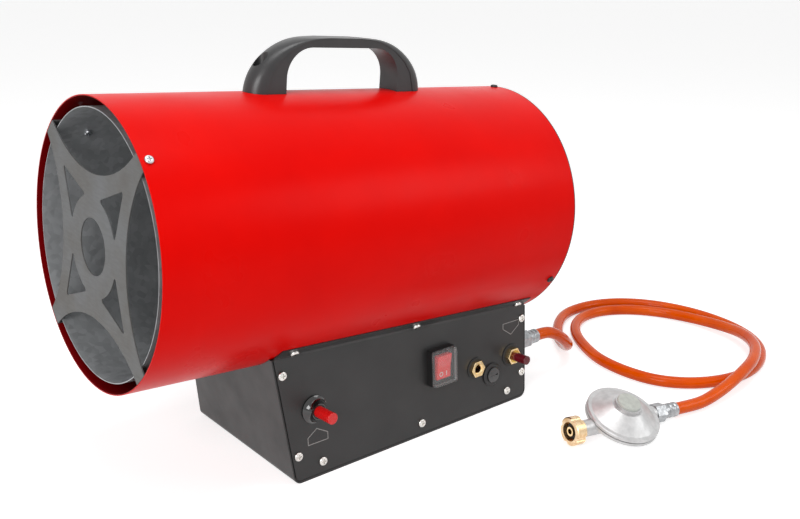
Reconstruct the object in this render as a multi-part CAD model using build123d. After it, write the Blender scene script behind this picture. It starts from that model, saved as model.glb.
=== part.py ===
from build123d import *
import math
import os

os.makedirs("parts", exist_ok=True)

# A portable gas space heater: a red steel barrel on a dark sheet-steel base, with a fan and a
# burner inside, and a gas hose with its regulator lying on the floor beside it.
# Millimetres, +Z up. The origin is on the floor under the middle of the barrel.
# The hot-air outlet faces -X, the control panel faces -Y, the air inlet faces +X.

# ---------------------------------------------------------------- driving dimensions
barrel_length = 490.0          # over the front rim and the rear guard
casing_r = 132.5               # outside of the red casing
casing_wall = 1.2
barrel_tilt = 3.9              # degrees, outlet end up
axis_height = 232.0            # barrel axis over the floor, at the barrel's middle
fit_gap = 0.1                  # between a sheet part and the wall that it seats in
flat_seat_gap = 0.1            # under a flat screw head on a curved wall
run_gap = 0.05                 # radial, a sliding or turning pin in its bore
part_gap = 0.4                 # between parts that move past each other

air_gap = 8.8                  # between the combustion tube and the casing
tube_wall = 0.8
tube_front_setback = 2.0       # behind the casing's front rim
fan_room = 195.0               # behind the tube, for the fan and its motor
sheet = 1.2                    # all folded sheet steel

# base, a folded box whose top follows the tilted barrel
base_front_setback = 145.7     # front edge on the floor, behind the barrel's front rim
base_rear_setback = 20.5       # rear wall, before the barrel's rear end
base_half_width = 93.8         # on the floor
base_side_lean = 4.2           # degrees, both sides lean in towards the top
base_front_lean = 7.6          # degrees, the front end leans out towards the top
crease_stand = 2.92            # the base's top creases stand this far off the casing
cradle_strip = 16.0            # width of the strip that hugs the barrel
cradle_end_slope = 0.3         # the strip's front end runs back by this for each mm of height

# screws
head_r = 4.0                   # on the barrel
base_head_r = 4.7              # on the base
head_rise = 0.6                # height of a pan head over its radius
shank_r = 1.95
hole_r = 2.1
screw_length = 8.0

# hose
hose_r = 7.0
floor_gap = 0.1                # under what lies on the floor

reach = 2 * barrel_length      # longer than the object, for cuts that run right through it

# ---------------------------------------------------------------- derived places
barrel = Location((0, 0, axis_height), (0, barrel_tilt, 0))
barrel_front = -barrel_length / 2
barrel_rear = barrel_length / 2
casing_rear = barrel_rear - sheet          # the rear guard's rim closes the last bit
casing_bore_r = casing_r - casing_wall
tube_r = casing_bore_r - air_gap
tube_length = barrel_length - tube_front_setback - fan_room
tube_front = barrel_front + tube_front_setback
tube_rear = tube_front + tube_length
tube_bore_r = tube_r - tube_wall
base_front_x = barrel_front + base_front_setback
base_rear_x = barrel_rear - base_rear_setback
base_middle_x = (base_front_x + base_rear_x) / 2
tilt = math.radians(barrel_tilt)
lean = math.radians(base_side_lean)
front_lean = math.radians(base_front_lean)

# the top creases lie on the leaning sides and on a circle about the barrel's axis;
# crease_drop is from the axis down to them, square to the axis
crease_circle_r = casing_r + crease_stand
side_at_axis = base_half_width - axis_height * math.tan(lean)
spread = 1 + math.tan(lean) ** 2
crease_root = math.sqrt(crease_circle_r ** 2 * spread - side_at_axis ** 2)
crease_drop = (crease_root - side_at_axis * math.tan(lean)) / spread
crease_half_width = side_at_axis + crease_drop * math.tan(lean)

# control panel: x along the base, y up its slope, z straight out of it
panel = Plane(origin=(0, -base_half_width, 0), x_dir=(1, 0, 0),
              z_dir=(0, -math.cos(lean), math.sin(lean)))


def export(shape, node):
    export_step(shape, "parts/" + node + ".step")
    solids = shape.solids()
    print(f"{node:24s} {len(solids):3d} solids {sum(s.volume for s in solids):12.1f} mm3")


def around_barrel(shape, axial, angle):
    """Moves a shape, made pointing up +Z from the origin, to the barrel's axis frame.

    axial is along the axis, angle is in degrees from the top towards -Y."""
    return Rot(angle, 0, 0) * Pos(axial, 0, 0) * shape


def cylinder_x(radius, start, end):
    return Pos((start + end) / 2, 0, 0) * Rot(0, 90, 0) * Cylinder(radius, end - start)


def ring_x(outer, inner, start, end):
    return cylinder_x(outer, start, end) - cylinder_x(inner, start - 1, end + 1)


def curved_tab(outer, inner, start, end, half_angle, middle_angle):
    """A piece of a ring about the barrel's axis, middle_angle from the top towards -Y."""
    profile = Plane.XZ * Pos((start + end) / 2, (outer + inner) / 2) * Rectangle(end - start, outer - inner)
    piece = revolve(profile, Axis.X, 2 * half_angle)
    tips = piece.center()
    now = math.degrees(math.atan2(-tips.Y, tips.Z))
    return Rot(middle_angle - now, 0, 0) * piece


def crease_height(x):
    """Height of the top creases over the floor."""
    return axis_height - x * math.tan(tilt) - crease_drop / math.cos(tilt)


def pan_screw(length, radius=head_r):
    """Cross-recess pan head on z = 0 and above, shank below."""
    head_height = head_rise * radius
    head = Cylinder(radius, head_height, align=(Align.CENTER, Align.CENTER, Align.MIN))
    head = fillet(head.edges().sort_by(Axis.Z)[-1], head_height * 0.6)
    slot = Pos(0, 0, head_height) * Box(radius * 1.1, radius * 0.25, head_height)
    head -= slot + Rot(0, 0, 90) * slot
    shank = Cylinder(shank_r, length, align=(Align.CENTER, Align.CENTER, Align.MAX))
    return head + shank


def hex_prism(across_flats, thickness, bore_r):
    """Hexagon along z from 0, with a bore."""
    body = extrude(RegularPolygon(across_flats / 2, 6, major_radius=False), amount=thickness)
    body = chamfer(body.faces().sort_by(Axis.Z)[-1].edges(), 0.5)
    return body - Cylinder(bore_r, 4 * thickness)


def arc_tube(points, radii, radius):
    """A round tube along straight runs joined by tangent arcs."""
    path = FilletPolyline(*points, radius=radii)
    start = path.location_at(0)
    return sweep(Plane(start) * Circle(radius), path=path)


def run_radii(points):
    """For each corner, 0.45 of the shorter run over the tangent of half the turn."""
    radii = []
    for before, here, after in zip(points, points[1:], points[2:]):
        run_in = Vector(*here) - Vector(*before)
        run_out = Vector(*after) - Vector(*here)
        half_turn = math.radians(run_in.get_angle(run_out)) / 2
        radii.append(0.45 * min(run_in.length, run_out.length) / math.tan(half_turn))
    return radii


# ---------------------------------------------------------------- barrel screws and their holes
grille_screw_axial = barrel_front + 7.3
grille_screw_angles = (45, -45)
guard_screw_axial = barrel_rear - 9.0
guard_screw_angles = (0, 120, 240)
spacer_axials = (barrel_front + 34.0, tube_rear - 24.0)
arm_angles = (45, 135, 225, 315)           # the star's arms, and the spacers behind them
flange_screw_xs = (base_front_x + 4.4, base_middle_x - 6.5, base_rear_x - 17.4)
handle_middle = 10.4                       # along the barrel axis
handle_screw_offset = 89.0

# the strip that hugs the barrel starts at the crease and ends higher up
crease_angle = 90 + math.degrees(math.atan2(crease_drop, crease_half_width))
cradle_sweep = math.degrees(cradle_strip / casing_r)
cradle_bend = 2.3              # along the casing, from the crease to where the strip lies on it
flange_screw_up = cradle_bend + base_head_r + 0.5
flange_screw_angle = crease_angle - math.degrees(flange_screw_up / casing_r)


def base_x_to_axial(x):
    """Where a screw in the cradle strip at row x lies along the barrel axis."""
    depth = casing_r * math.cos(math.radians(flange_screw_angle))
    return (x - depth * math.sin(tilt)) / math.cos(tilt)


def radial_hole(radius, axial, angle, reach_from, reach_to):
    drill = Cylinder(radius, reach_to - reach_from, align=(Align.CENTER, Align.CENTER, Align.MIN))
    return around_barrel(Pos(0, 0, reach_from) * drill, axial, angle)


# ---------------------------------------------------------------- outer casing
pipe_hole_axial = tube_rear + 62.0         # where the gas pipe and the leads enter from below
pipe_hole_length = 74.0
pipe_hole_width = 34.0

casing = ring_x(casing_r, casing_bore_r, barrel_front, casing_rear)
wall_in = casing_bore_r - 5
wall_out = casing_r + 5
for a in grille_screw_angles:
    casing -= radial_hole(hole_r, grille_screw_axial, a, wall_in, wall_out)
for a in guard_screw_angles:
    casing -= radial_hole(hole_r, guard_screw_axial, a, wall_in, wall_out)
for x in flange_screw_xs:
    for side in (1, -1):
        casing -= radial_hole(hole_r, base_x_to_axial(x), side * flange_screw_angle, wall_in, wall_out)
for side in (1, -1):
    casing -= radial_hole(hole_r, handle_middle + side * handle_screw_offset, 0, wall_in, wall_out)
pipe_slot = extrude(SlotOverall(pipe_hole_length, pipe_hole_width), amount=12)
casing -= Pos(pipe_hole_axial, 0, -casing_r - 5) * pipe_slot
export(barrel * casing, "outer_casing")

# ---------------------------------------------------------------- combustion tube, spacers, screws
tube = ring_x(tube_r, tube_bore_r, tube_front, tube_rear)
for s in spacer_axials:
    for a in arm_angles:
        tube -= radial_hole(hole_r, s, a, tube_bore_r - 5, tube_r + 2)
export(barrel * tube, "combustion_tube")

spacer_foot = 14.0             # length of each foot along the axis
spacer_half_angle = 3.2
spacers = []
for s, way in zip(spacer_axials, (1, -1)):
    # inner foot on the tube, web, outer foot on the casing: a Z seen from the side
    low, high = tube_r, casing_bore_r
    z_profile = Polyline(
        (s - way * spacer_foot / 2, low), (s + way * (spacer_foot / 2 + sheet), low),
        (s + way * (spacer_foot / 2 + sheet), high - sheet),
        (s + way * (spacer_foot * 1.5), high - sheet), (s + way * (spacer_foot * 1.5), high),
        (s + way * (spacer_foot / 2), high), (s + way * (spacer_foot / 2), low + sheet),
        (s - way * spacer_foot / 2, low + sheet), close=True)
    z_bar = Rot(-spacer_half_angle, 0, 0) * revolve(Plane.XZ * make_face(z_profile), Axis.X,
                                                    2 * spacer_half_angle)
    off = math.degrees(math.atan2(-z_bar.center().Y, z_bar.center().Z))
    for a in arm_angles:
        bar = Rot(a - off, 0, 0) * z_bar
        spacers.append(bar - radial_hole(hole_r, s, a, tube_r - 2, tube_r + 2 * sheet))
export(barrel * Compound(spacers), "tube_spacers")

tube_screw_length = 6.0
tube_screws = []
for s in spacer_axials:
    for a in arm_angles:
        inward = Pos(0, 0, tube_bore_r - flat_seat_gap) * Rot(180, 0, 0) * pan_screw(tube_screw_length)
        tube_screws.append(around_barrel(inward, s, a))
export(barrel * Compound(tube_screws), "tube_screws")

# ---------------------------------------------------------------- star grille over the outlet
star_tip_half = 3.9            # degrees, half the width of an arm's tip
star_r = casing_bore_r - fit_gap
star_waist = 0.503 * star_r    # centre to the middle of each concave edge
star_eye_r = 26.0              # round hole in the middle
star_ring_r = 0.3544 * star_r  # the corner windows start at this circle
star_window_near = 17.0        # degrees off the arm's middle line, the windows' inner corners
star_window_tip = 0.6784 * star_r          # centre to the windows' outer corner
star_window_corner = 2.0
star_tab = 14.0                # tabs bent back along the casing's wall


def at_angle(radius, degrees):
    return (radius * math.cos(math.radians(degrees)), radius * math.sin(math.radians(degrees)))


star_edges = []
for tip in arm_angles:
    star_edges.append(ThreePointArc(at_angle(star_r, tip - star_tip_half), at_angle(star_r, tip),
                                    at_angle(star_r, tip + star_tip_half)))
    star_edges.append(ThreePointArc(at_angle(star_r, tip + star_tip_half), at_angle(star_waist, tip + 45),
                                    at_angle(star_r, tip + 90 - star_tip_half)))
star_face = make_face(star_edges) - Circle(star_eye_r)
for mid in arm_angles:
    near_a = at_angle(star_ring_r, mid - 45 + star_window_near)
    near_b = at_angle(star_ring_r, mid + 45 - star_window_near)
    far = at_angle(star_window_tip, mid)
    window = make_face([ThreePointArc(near_a, at_angle(star_ring_r, mid), near_b), Line(near_b, far),
                        Line(far, near_a)])
    star_face -= fillet(window.vertices(), star_window_corner)
star = Pos(barrel_front, 0, 0) * Rot(0, 90, 0) * extrude(star_face, amount=sheet)
for tip in arm_angles:
    star += curved_tab(star_r, star_r - sheet, barrel_front + sheet / 2, barrel_front + star_tab,
                       star_tip_half, tip)
for a in grille_screw_angles:
    star -= radial_hole(hole_r, grille_screw_axial, a, star_r - 3 * sheet, star_r + 3)
export(barrel * star, "star_grille")


def barrel_screws(axial, angles, seat_r, length):
    return [around_barrel(Pos(0, 0, seat_r + flat_seat_gap) * pan_screw(length), axial, a) for a in angles]


grille_screw_length = 5.0
export(barrel * Compound(barrel_screws(grille_screw_axial, grille_screw_angles, casing_r,
                                       grille_screw_length)), "grille_screws")

# ---------------------------------------------------------------- rear guard, a punched and flanged disc
guard_skirt = 16.0
guard_r = casing_bore_r - fit_gap
guard_hub_r = 48.0             # unpunched middle that carries the motor
guard_bar = 3.5                # metal left between two slots
guard_rows = 5
guard_spoke = 6.0
guard_rim_inner_r = guard_r - 7.2
motor_bolt_circle_r = 36.0
motor_bolt_r = 2.1

guard_pitch = (guard_rim_inner_r - guard_hub_r) / guard_rows
guard_face = Circle(casing_r) - Circle(6.0)
for row in range(guard_rows):
    inner = guard_hub_r + row * guard_pitch
    outer = inner + guard_pitch - guard_bar
    slots = Circle(outer) - Circle(inner)
    for turn in range(4):
        slots -= Rot(0, 0, 45 * turn) * Rectangle(reach, guard_spoke)
    guard_face -= slots
for turn in range(4):
    x, y = at_angle(motor_bolt_circle_r, 90 * turn + 45)
    guard_face -= Pos(x, y) * Circle(motor_bolt_r + fit_gap)
guard = Pos(casing_rear, 0, 0) * Rot(0, 90, 0) * extrude(guard_face, amount=sheet)
guard += ring_x(guard_r, guard_r - sheet, casing_rear - guard_skirt, casing_rear + sheet / 2)
for a in guard_screw_angles:
    guard -= radial_hole(hole_r, guard_screw_axial, a, guard_r - 5, guard_r + 3)
export(barrel * guard, "rear_guard")
export(barrel * Compound(barrel_screws(guard_screw_axial, guard_screw_angles, casing_r,
                                       grille_screw_length)), "guard_screws")

# ---------------------------------------------------------------- fan motor, bolted to the guard
motor_r = 44.0
motor_length = 62.0
motor_wall = 1.5
motor_back = casing_rear                   # seats on the guard's inner face
motor_front = motor_back - motor_length
end_plate = 3.0
shaft_r = 3.0
shaft_front = motor_front - 34.0
shaft_back = motor_back - 6.0
bush_r = 7.0
bush_length = 10.0
boss_wall = 2.0
stator_length = 26.0
stator_bore_r = 22.0
rotor_gap = 0.5
stator_middle = (motor_front + motor_back) / 2 - 2.0

can = cylinder_x(motor_r, motor_front, motor_back - end_plate)
can -= cylinder_x(motor_r - motor_wall, motor_front + motor_wall, motor_back)
can += cylinder_x(bush_r + boss_wall, motor_front - 3, motor_front + bush_length)
can -= cylinder_x(bush_r, motor_front - 4, motor_front + bush_length + 1)
vent_count = 8
for n in range(vent_count):
    slot = Pos(motor_front, 0, 0) * Rot(0, 90, 0) * Box(3.5, 12, 8)
    can -= Rot(360 / vent_count * n, 0, 0) * Pos(0, 0, 28) * slot
export(barrel * can, "motor_can")

end_cap = cylinder_x(motor_r, motor_back - end_plate, motor_back)
end_cap += cylinder_x(bush_r + boss_wall, motor_back - end_plate - bush_length, motor_back)
end_cap -= cylinder_x(bush_r, motor_back - end_plate - bush_length - 1, motor_back - end_plate)
end_cap -= cylinder_x(shaft_r + 1, motor_back - end_plate - 1, motor_back + 1)
for turn in range(4):
    x, y = at_angle(motor_bolt_circle_r, 90 * turn + 45)
    end_cap -= Pos(0, x, y) * cylinder_x(motor_bolt_r, motor_back - end_plate - 1, motor_back + 1)
export(barrel * end_cap, "motor_end_cap")

cap_face = motor_back - end_plate
bushes = [ring_x(bush_r - run_gap, shaft_r + run_gap, motor_front - 3, motor_front + bush_length),
          ring_x(bush_r - run_gap, shaft_r + run_gap, cap_face - bush_length, cap_face)]
export(barrel * Compound(bushes), "motor_bushes")

stator = ring_x(motor_r - motor_wall - run_gap, stator_bore_r, stator_middle - stator_length / 2,
                stator_middle + stator_length / 2)
slot_depth = 9.0
for n in range(4):
    slot = Pos(stator_middle, 0, (stator_bore_r + slot_depth) / 2) * Box(
        stator_length + 2, 16, stator_bore_r + slot_depth)
    stator -= Rot(90 * n, 0, 0) * slot
export(barrel * stator, "motor_stator")

windings = []
for n in range(4):
    coil = Pos(stator_middle, 0, stator_bore_r + slot_depth / 2) * Box(stator_length + 8, 15, slot_depth - 1)
    windings.append(Rot(90 * n, 0, 0) * coil)
export(barrel * Compound(windings), "motor_windings")

shaft = cylinder_x(shaft_r, shaft_front, shaft_back)
rotor = ring_x(stator_bore_r - rotor_gap, shaft_r, stator_middle - stator_length / 2 - 1,
               stator_middle + stator_length / 2 + 1)
export(barrel * (shaft + rotor), "motor_rotor")

motor_bolt_length = end_plate + sheet + 2.0
motor_bolts = []
for turn in range(4):
    x, y = at_angle(motor_bolt_circle_r, 90 * turn + 45)
    bolt = Pos(barrel_rear, x, y) * Rot(0, 90, 0) * pan_screw(motor_bolt_length)
    motor_bolts.append(bolt)
export(barrel * Compound(motor_bolts), "motor_bolts")

# ---------------------------------------------------------------- fan on the motor shaft
fan_r = casing_bore_r - 8.3
fan_hub_r = 19.0
fan_hub_length = 22.0
fan_blades = 5
blade_pitch = 30.0
blade_thickness = 1.6
blade_root_width = 34.0
blade_tip_width = 62.0
fan_middle = shaft_front + fan_hub_length / 2 + 4

hub = ring_x(fan_hub_r, shaft_r + run_gap, fan_middle - fan_hub_length / 2, fan_middle + fan_hub_length / 2)
blade_root_r = fan_hub_r - 4
blade_tip_r = fan_r * 1.1                  # cut back to the fan's radius below
root_half = blade_root_width / 2
tip_half = blade_tip_width / 2
blade_outline = make_face(Polyline((-root_half, blade_root_r), (root_half, blade_root_r),
                                   (tip_half, blade_tip_r), (-tip_half, blade_tip_r), close=True))
blade = Plane.XZ * extrude(blade_outline, amount=blade_thickness / 2, both=True)
blade = Rot(0, 0, 90 - blade_pitch) * blade
blade = Pos(fan_middle, 0, 0) * blade
blade = blade & ring_x(fan_r, fan_hub_r - 3, fan_middle - 60, fan_middle + 60)
fan = hub
for n in range(fan_blades):
    fan += Rot(360 / fan_blades * n, 0, 0) * blade
export(barrel * fan, "fan")
clip = ring_x(shaft_r + 5, shaft_r + run_gap, shaft_front + 1.5, fan_middle - fan_hub_length / 2)
export(barrel * clip, "fan_clip")

# ---------------------------------------------------------------- burner
burner_plate_axial = tube_rear - 12.0      # front face of the plate
burner_skirt = 10.0
plate_r = tube_bore_r - fit_gap
cup_back_r = 46.0
cup_front_r = 62.0
cup_length = 64.0
cup_wall = 1.0
nozzle_r = 5.0
nozzle_hex = 17.0
air_holes = 12
air_hole_r = 14.0
air_hole_circle_r = plate_r - 29.6
electrode_offset = 30.0        # from the axis, upwards, inside the cup
electrode_r = 3.5
probe_offset = 30.0            # from the axis, downwards, inside the cup
probe_r = 2.5

burner_plate = cylinder_x(plate_r, burner_plate_axial, burner_plate_axial + sheet)
burner_plate += ring_x(plate_r, plate_r - sheet, burner_plate_axial, burner_plate_axial + burner_skirt)
burner_plate -= cylinder_x(nozzle_r + fit_gap, burner_plate_axial - 5, burner_plate_axial + 5)
for n in range(air_holes):
    punch = cylinder_x(air_hole_r, burner_plate_axial - 5, burner_plate_axial + 5)
    hole = Pos(0, 0, air_hole_circle_r) * punch
    burner_plate -= Rot(360 / air_holes * (n + 0.5), 0, 0) * hole
burner_plate -= Pos(0, 0, electrode_offset) * cylinder_x(electrode_r + fit_gap, burner_plate_axial - 5,
                                                         burner_plate_axial + 5)
burner_plate -= Pos(0, 0, -probe_offset) * cylinder_x(probe_r + fit_gap, burner_plate_axial - 5,
                                                      burner_plate_axial + 5)
export(barrel * burner_plate, "burner_plate")

cup_front = burner_plate_axial - cup_length
cup_profile = Polyline((burner_plate_axial, nozzle_r + 12), (burner_plate_axial, cup_back_r),
                       (cup_front, cup_front_r), (cup_front, cup_front_r - cup_wall),
                       (burner_plate_axial - cup_wall, cup_back_r - cup_wall),
                       (burner_plate_axial - cup_wall, nozzle_r + 12), close=True)
cup = revolve(Plane.XZ * make_face(cup_profile), Axis.X, 360)
cup_hole_r = 4.0
cup_hole_count = 12
for row, start_turn in ((0.35, 0), (0.7, 0.5)):
    for n in range(cup_hole_count):
        drill = Cylinder(cup_hole_r, 40, align=(Align.CENTER, Align.CENTER, Align.MIN))
        drill = Pos(burner_plate_axial - row * cup_length, 0, cup_back_r - 10) * drill
        cup -= Rot(360 / cup_hole_count * (n + start_turn), 0, 0) * drill
for offset, pin_r in ((electrode_offset, electrode_r), (-probe_offset, probe_r)):
    cup -= Pos(0, 0, offset) * cylinder_x(pin_r + fit_gap, burner_plate_axial - 5, burner_plate_axial + 5)
export(barrel * cup, "burner_cup")

pipe_r = 4.0
nozzle_tip = 16.0
nozzle_back = burner_plate_axial + sheet
nozzle = cylinder_x(nozzle_r, burner_plate_axial - nozzle_tip, nozzle_back)
nozzle += Pos(nozzle_back, 0, 0) * Rot(0, 90, 0) * hex_prism(nozzle_hex, 12, 0.8)
nozzle -= cylinder_x(0.8, burner_plate_axial - nozzle_tip - 1, nozzle_back + 13)
nozzle += ring_x(pipe_r + 2.5, pipe_r + fit_gap, nozzle_back + 11.5, nozzle_back + 20)
export(barrel * nozzle, "gas_nozzle")

collar_back = nozzle_back + 5.0            # of the collars that seat on the plate's back
electrode_back = burner_plate_axial + 24
ceramic_front = burner_plate_axial - 22
ceramic = Pos(0, 0, electrode_offset) * cylinder_x(electrode_r, ceramic_front, electrode_back)
ceramic += Pos(0, 0, electrode_offset) * cylinder_x(electrode_r + 2, nozzle_back, collar_back)
export(barrel * ceramic, "electrode_ceramic")
wire_r = 1.2
wire_run = 14.0
wire_drop = 16.0
wire_bend_r = 5.0
wire_path = [(ceramic_front, 0, electrode_offset), (ceramic_front - wire_run, 0, electrode_offset),
             (ceramic_front - wire_run - 6, 0, electrode_offset - wire_drop)]
wire = arc_tube(wire_path, [wire_bend_r], wire_r)

probe_back = nozzle_back + 10
probe = Pos(0, 0, -probe_offset) * cylinder_x(probe_r, burner_plate_axial - 26, probe_back)
probe += Pos(0, 0, -probe_offset) * cylinder_x(probe_r + 2, nozzle_back, collar_back)
export(barrel * Compound([wire, probe]), "burner_probes")

# ---------------------------------------------------------------- base: tray and control panel
base_corner_r = 9.0            # bends at the bottom of both ends
seam = 0.6                     # gap round the control panel, inside the tray's edges
front_seam = 1.5               # the same gap at the panel's front end
panel_lip = 2.4                # height of the tray's lower edge in front, under the panel
front_flange = 17.0            # widths of the tray's flanges behind the panel
low_flange = 20.0
rear_flange = 9.0
crease_plane = barrel * Plane(origin=(0, 0, -crease_drop), x_dir=(1, 0, 0), z_dir=(0, 0, 1))


def side_profile(front, low, rear):
    """The base seen from -Y, inset from its outer faces; its top is open-ended."""
    top = 2 * axis_height
    front_x = base_front_x + front / math.cos(front_lean)
    outline = Polyline((front_x - low * math.tan(front_lean), low), (base_rear_x - rear, low),
                       (base_rear_x - rear, top), (front_x - top * math.tan(front_lean), top), close=True)
    face = make_face(outline)
    corners = face.vertices().group_by(Axis.Y)[0]
    return fillet(corners, max(base_corner_r - low, 1.0))


def side_block(front, low, rear):
    return extrude(Plane.XZ * side_profile(front, low, rear), amount=reach, both=True)


def end_profile(inset):
    """The base seen from its end: sides lean in."""
    top = 2 * axis_height
    skew = inset / math.cos(lean)
    half_low = base_half_width - skew - inset * math.tan(lean)
    half_top = base_half_width - skew - top * math.tan(lean)
    return make_face(Polyline((-half_low, inset), (half_low, inset), (half_top, top), (-half_top, top),
                              close=True))


def wedge(inset):
    """The base as a solid block with all its walls inset."""
    return side_block(inset, inset, inset) & extrude(Plane.YZ * end_profile(inset), amount=reach, both=True)


under_crease = crease_plane.location * Pos(0, 0, -axis_height / 2) * Box(reach, reach, axis_height)
barrel_clear = barrel * cylinder_x(casing_r + fit_gap, -barrel_length, barrel_length)


def panel_layer(near, far):
    """Everything between two depths behind the panel's outer face."""
    return panel.location * Pos(0, 0, -(near + far) / 2) * Box(reach, reach, far - near)


def cradle(front_cut, rear_cut):
    """Bend and strip along a top crease, fitted to the barrel, up to a rear X plane.

    The front end is cut at front_cut on the crease and slopes back above it."""
    bend_turn = math.degrees(cradle_bend / casing_r)
    start = crease_angle - bend_turn
    inner = casing_r + fit_gap
    outer = inner + sheet
    strip_turn = cradle_sweep - bend_turn
    strip = curved_tab(outer, inner, -barrel_length / 2, barrel_length / 2, strip_turn / 2,
                       start - strip_turn / 2)
    sections = []
    for axial in (-barrel_length / 2, barrel_length / 2):
        # the crease lies on the panel's outer face, which isn't quite parallel to the axis
        height = axis_height - crease_drop * math.cos(tilt) - axial * math.sin(tilt)
        out = -(base_half_width - height * math.tan(lean))
        low_in = (out + sheet, -crease_drop)
        low_out = (out, -crease_drop)
        turn = math.radians(start - 0.3)
        high_out = (-outer * math.sin(turn), outer * math.cos(turn))
        high_in = (-inner * math.sin(turn), inner * math.cos(turn))
        plane = Plane(origin=(axial, 0, 0), x_dir=(0, 1, 0), z_dir=(1, 0, 0))
        sections.append(plane * make_face(Polyline(low_out, high_out, high_in, low_in, close=True)))
    bend = loft(sections, ruled=True)
    top = 2 * axis_height
    slope_low = front_cut - cradle_end_slope * crease_front_z
    slope_high = front_cut + cradle_end_slope * (top - crease_front_z)
    keep = make_face(Polyline((slope_low, 0), (rear_cut, 0), (rear_cut, top), (slope_high, top), close=True))
    return (barrel * (strip + bend)) & extrude(Plane.XZ * keep, amount=reach, both=True)


crease_front_z = (axis_height - crease_drop * math.cos(tilt)
                  + (-base_front_x) * math.tan(tilt)) / (1 - math.tan(front_lean) * math.tan(tilt))
crease_front_x = base_front_x - crease_front_z * math.tan(front_lean)
cradle_front_x = crease_front_x + (sheet + front_seam) / math.cos(front_lean)
panel_cradle = cradle(cradle_front_x, base_rear_x - sheet - seam)
back_cradle = mirror(cradle(cradle_front_x, base_rear_x), Plane.XZ)

shell_outer = wedge(0.0)
shell_inner = wedge(sheet)
panel_room = shell_outer & panel_layer(-1, sheet)

# panel: a flat sheet inside the seam, with its crease and strip on top
panel_sheet = panel_room & side_block(sheet + front_seam, panel_lip + seam, sheet + seam) & under_crease
panel_sheet += panel_cradle

# tray: the shell without its front, then flanges behind the panel
tray = (shell_outer - shell_inner) & under_crease
tray -= panel_room & side_block(sheet, panel_lip, sheet)
flange_block = shell_inner & panel_layer(sheet, 2 * sheet) & under_crease
flange_block -= side_block(sheet + front_flange, sheet + low_flange, sheet + rear_flange)
tray += flange_block
tray += back_cradle
tray -= barrel_clear
panel_sheet -= barrel_clear

# screws through the panel into the tray, and holes for them
panel_screw_low_z = 15.2
panel_screw_low_xs = (base_front_x + 33.5, base_middle_x + 1.5, base_rear_x - 31.0)
panel_screw_spots = [(x, panel_screw_low_z) for x in panel_screw_low_xs]
front_screw_high_x = base_front_x - 7.3
rear_screw_x = base_rear_x - 7.0
panel_screw_spots += [(front_screw_high_x, crease_height(front_screw_high_x) - 16.6),
                      (base_front_x + 5.2, 29.4), (rear_screw_x, crease_height(rear_screw_x) - 14.0),
                      (rear_screw_x, 32.0)]


def on_panel(x, z, depth=0.0):
    return panel.location * Pos(x, z / math.cos(lean), -depth)


def through_panel(x, z, radius, depth=20.0):
    return on_panel(x, z) * Cylinder(radius, depth)


for x, z in panel_screw_spots:
    panel_sheet -= through_panel(x, z, hole_r)
    tray -= through_panel(x, z, hole_r)

flange_screws = []
for x in flange_screw_xs:
    for side in (1, -1):
        axial = base_x_to_axial(x)
        drill = barrel * radial_hole(hole_r, axial, side * flange_screw_angle, wall_in, wall_out)
        if side > 0:
            panel_sheet -= drill
        else:
            tray -= drill
        seat = casing_r + fit_gap + sheet + flat_seat_gap
        screw = Pos(0, 0, seat) * pan_screw(screw_length, base_head_r)
        flange_screws.append(barrel * around_barrel(screw, axial, side * flange_screw_angle))
export(Compound(flange_screws), "flange_screws")
export(Compound([on_panel(x, z) * pan_screw(screw_length, base_head_r) for x, z in panel_screw_spots]),
       "panel_screws")

# ---------------------------------------------------------------- igniter
igniter_x = base_front_x + 26.6
igniter_z = 72.7
collar_r = 14.2
collar_height = 9.5
collar_top_r = 8.2
collar_rim = 1.5
button_r = 5.8
button_tip = 32.0
button_travel = 5.0
igniter_neck_r = 7.2
spring_r = 4.4                 # of the springs under both buttons
spring_bore_r = 3.2
igniter_depth = 46.0
igniter_body_r = 9.5
igniter = on_panel(igniter_x, igniter_z)


def revolved(*rz_points):
    """A closed outline of (radius, height) points turned about Z."""
    face = Plane.XZ * make_face(Polyline(*rz_points, close=True))
    return revolve(face, Axis.Z, 360)


panel_sheet -= igniter * Cylinder(igniter_neck_r + 2 * fit_gap, 20)
collar_edge = make_face([
    Line((igniter_neck_r + fit_gap, 0), (collar_r, 0)), Line((collar_r, 0), (collar_r, collar_rim)),
    ThreePointArc((collar_r, collar_rim), (collar_top_r + 2.2, collar_height * 0.5),
                  (collar_top_r, collar_height)),
    Line((collar_top_r, collar_height), (igniter_neck_r + fit_gap, collar_height)),
    Line((igniter_neck_r + fit_gap, collar_height), (igniter_neck_r + fit_gap, 0))])
export(igniter * revolve(Plane.XZ * collar_edge, Axis.Z, 360), "igniter_collar")

bore_floor = -igniter_depth + 16.0
igniter_body = Pos(0, 0, -(sheet + igniter_depth) / 2) * Cylinder(igniter_body_r, igniter_depth - sheet)
igniter_body += Pos(0, 0, -sheet - 1.5) * Cylinder(igniter_body_r + 3, 3)
neck_top = collar_height - 0.5
igniter_body += Pos(0, 0, (neck_top - sheet - 1) / 2) * Cylinder(igniter_neck_r, neck_top + sheet + 1)
igniter_body -= Pos(0, 0, (neck_top + 1 + bore_floor) / 2) * Cylinder(button_r + run_gap,
                                                                      neck_top + 1 - bore_floor)
export(igniter * igniter_body, "igniter_body")

button_length = 46.0
button = Pos(0, 0, button_tip - button_length / 2) * Cylinder(button_r, button_length)
button = fillet(button.edges().sort_by(Axis.Z)[-1], 0.8)
export(igniter * button, "ignition_button")
igniter_spring_height = button_tip - button_length - button_travel - part_gap - bore_floor
igniter_spring = Pos(0, 0, bore_floor + igniter_spring_height / 2) * (
    Cylinder(spring_r, igniter_spring_height) - Cylinder(spring_bore_r, igniter_spring_height * 2))

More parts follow.
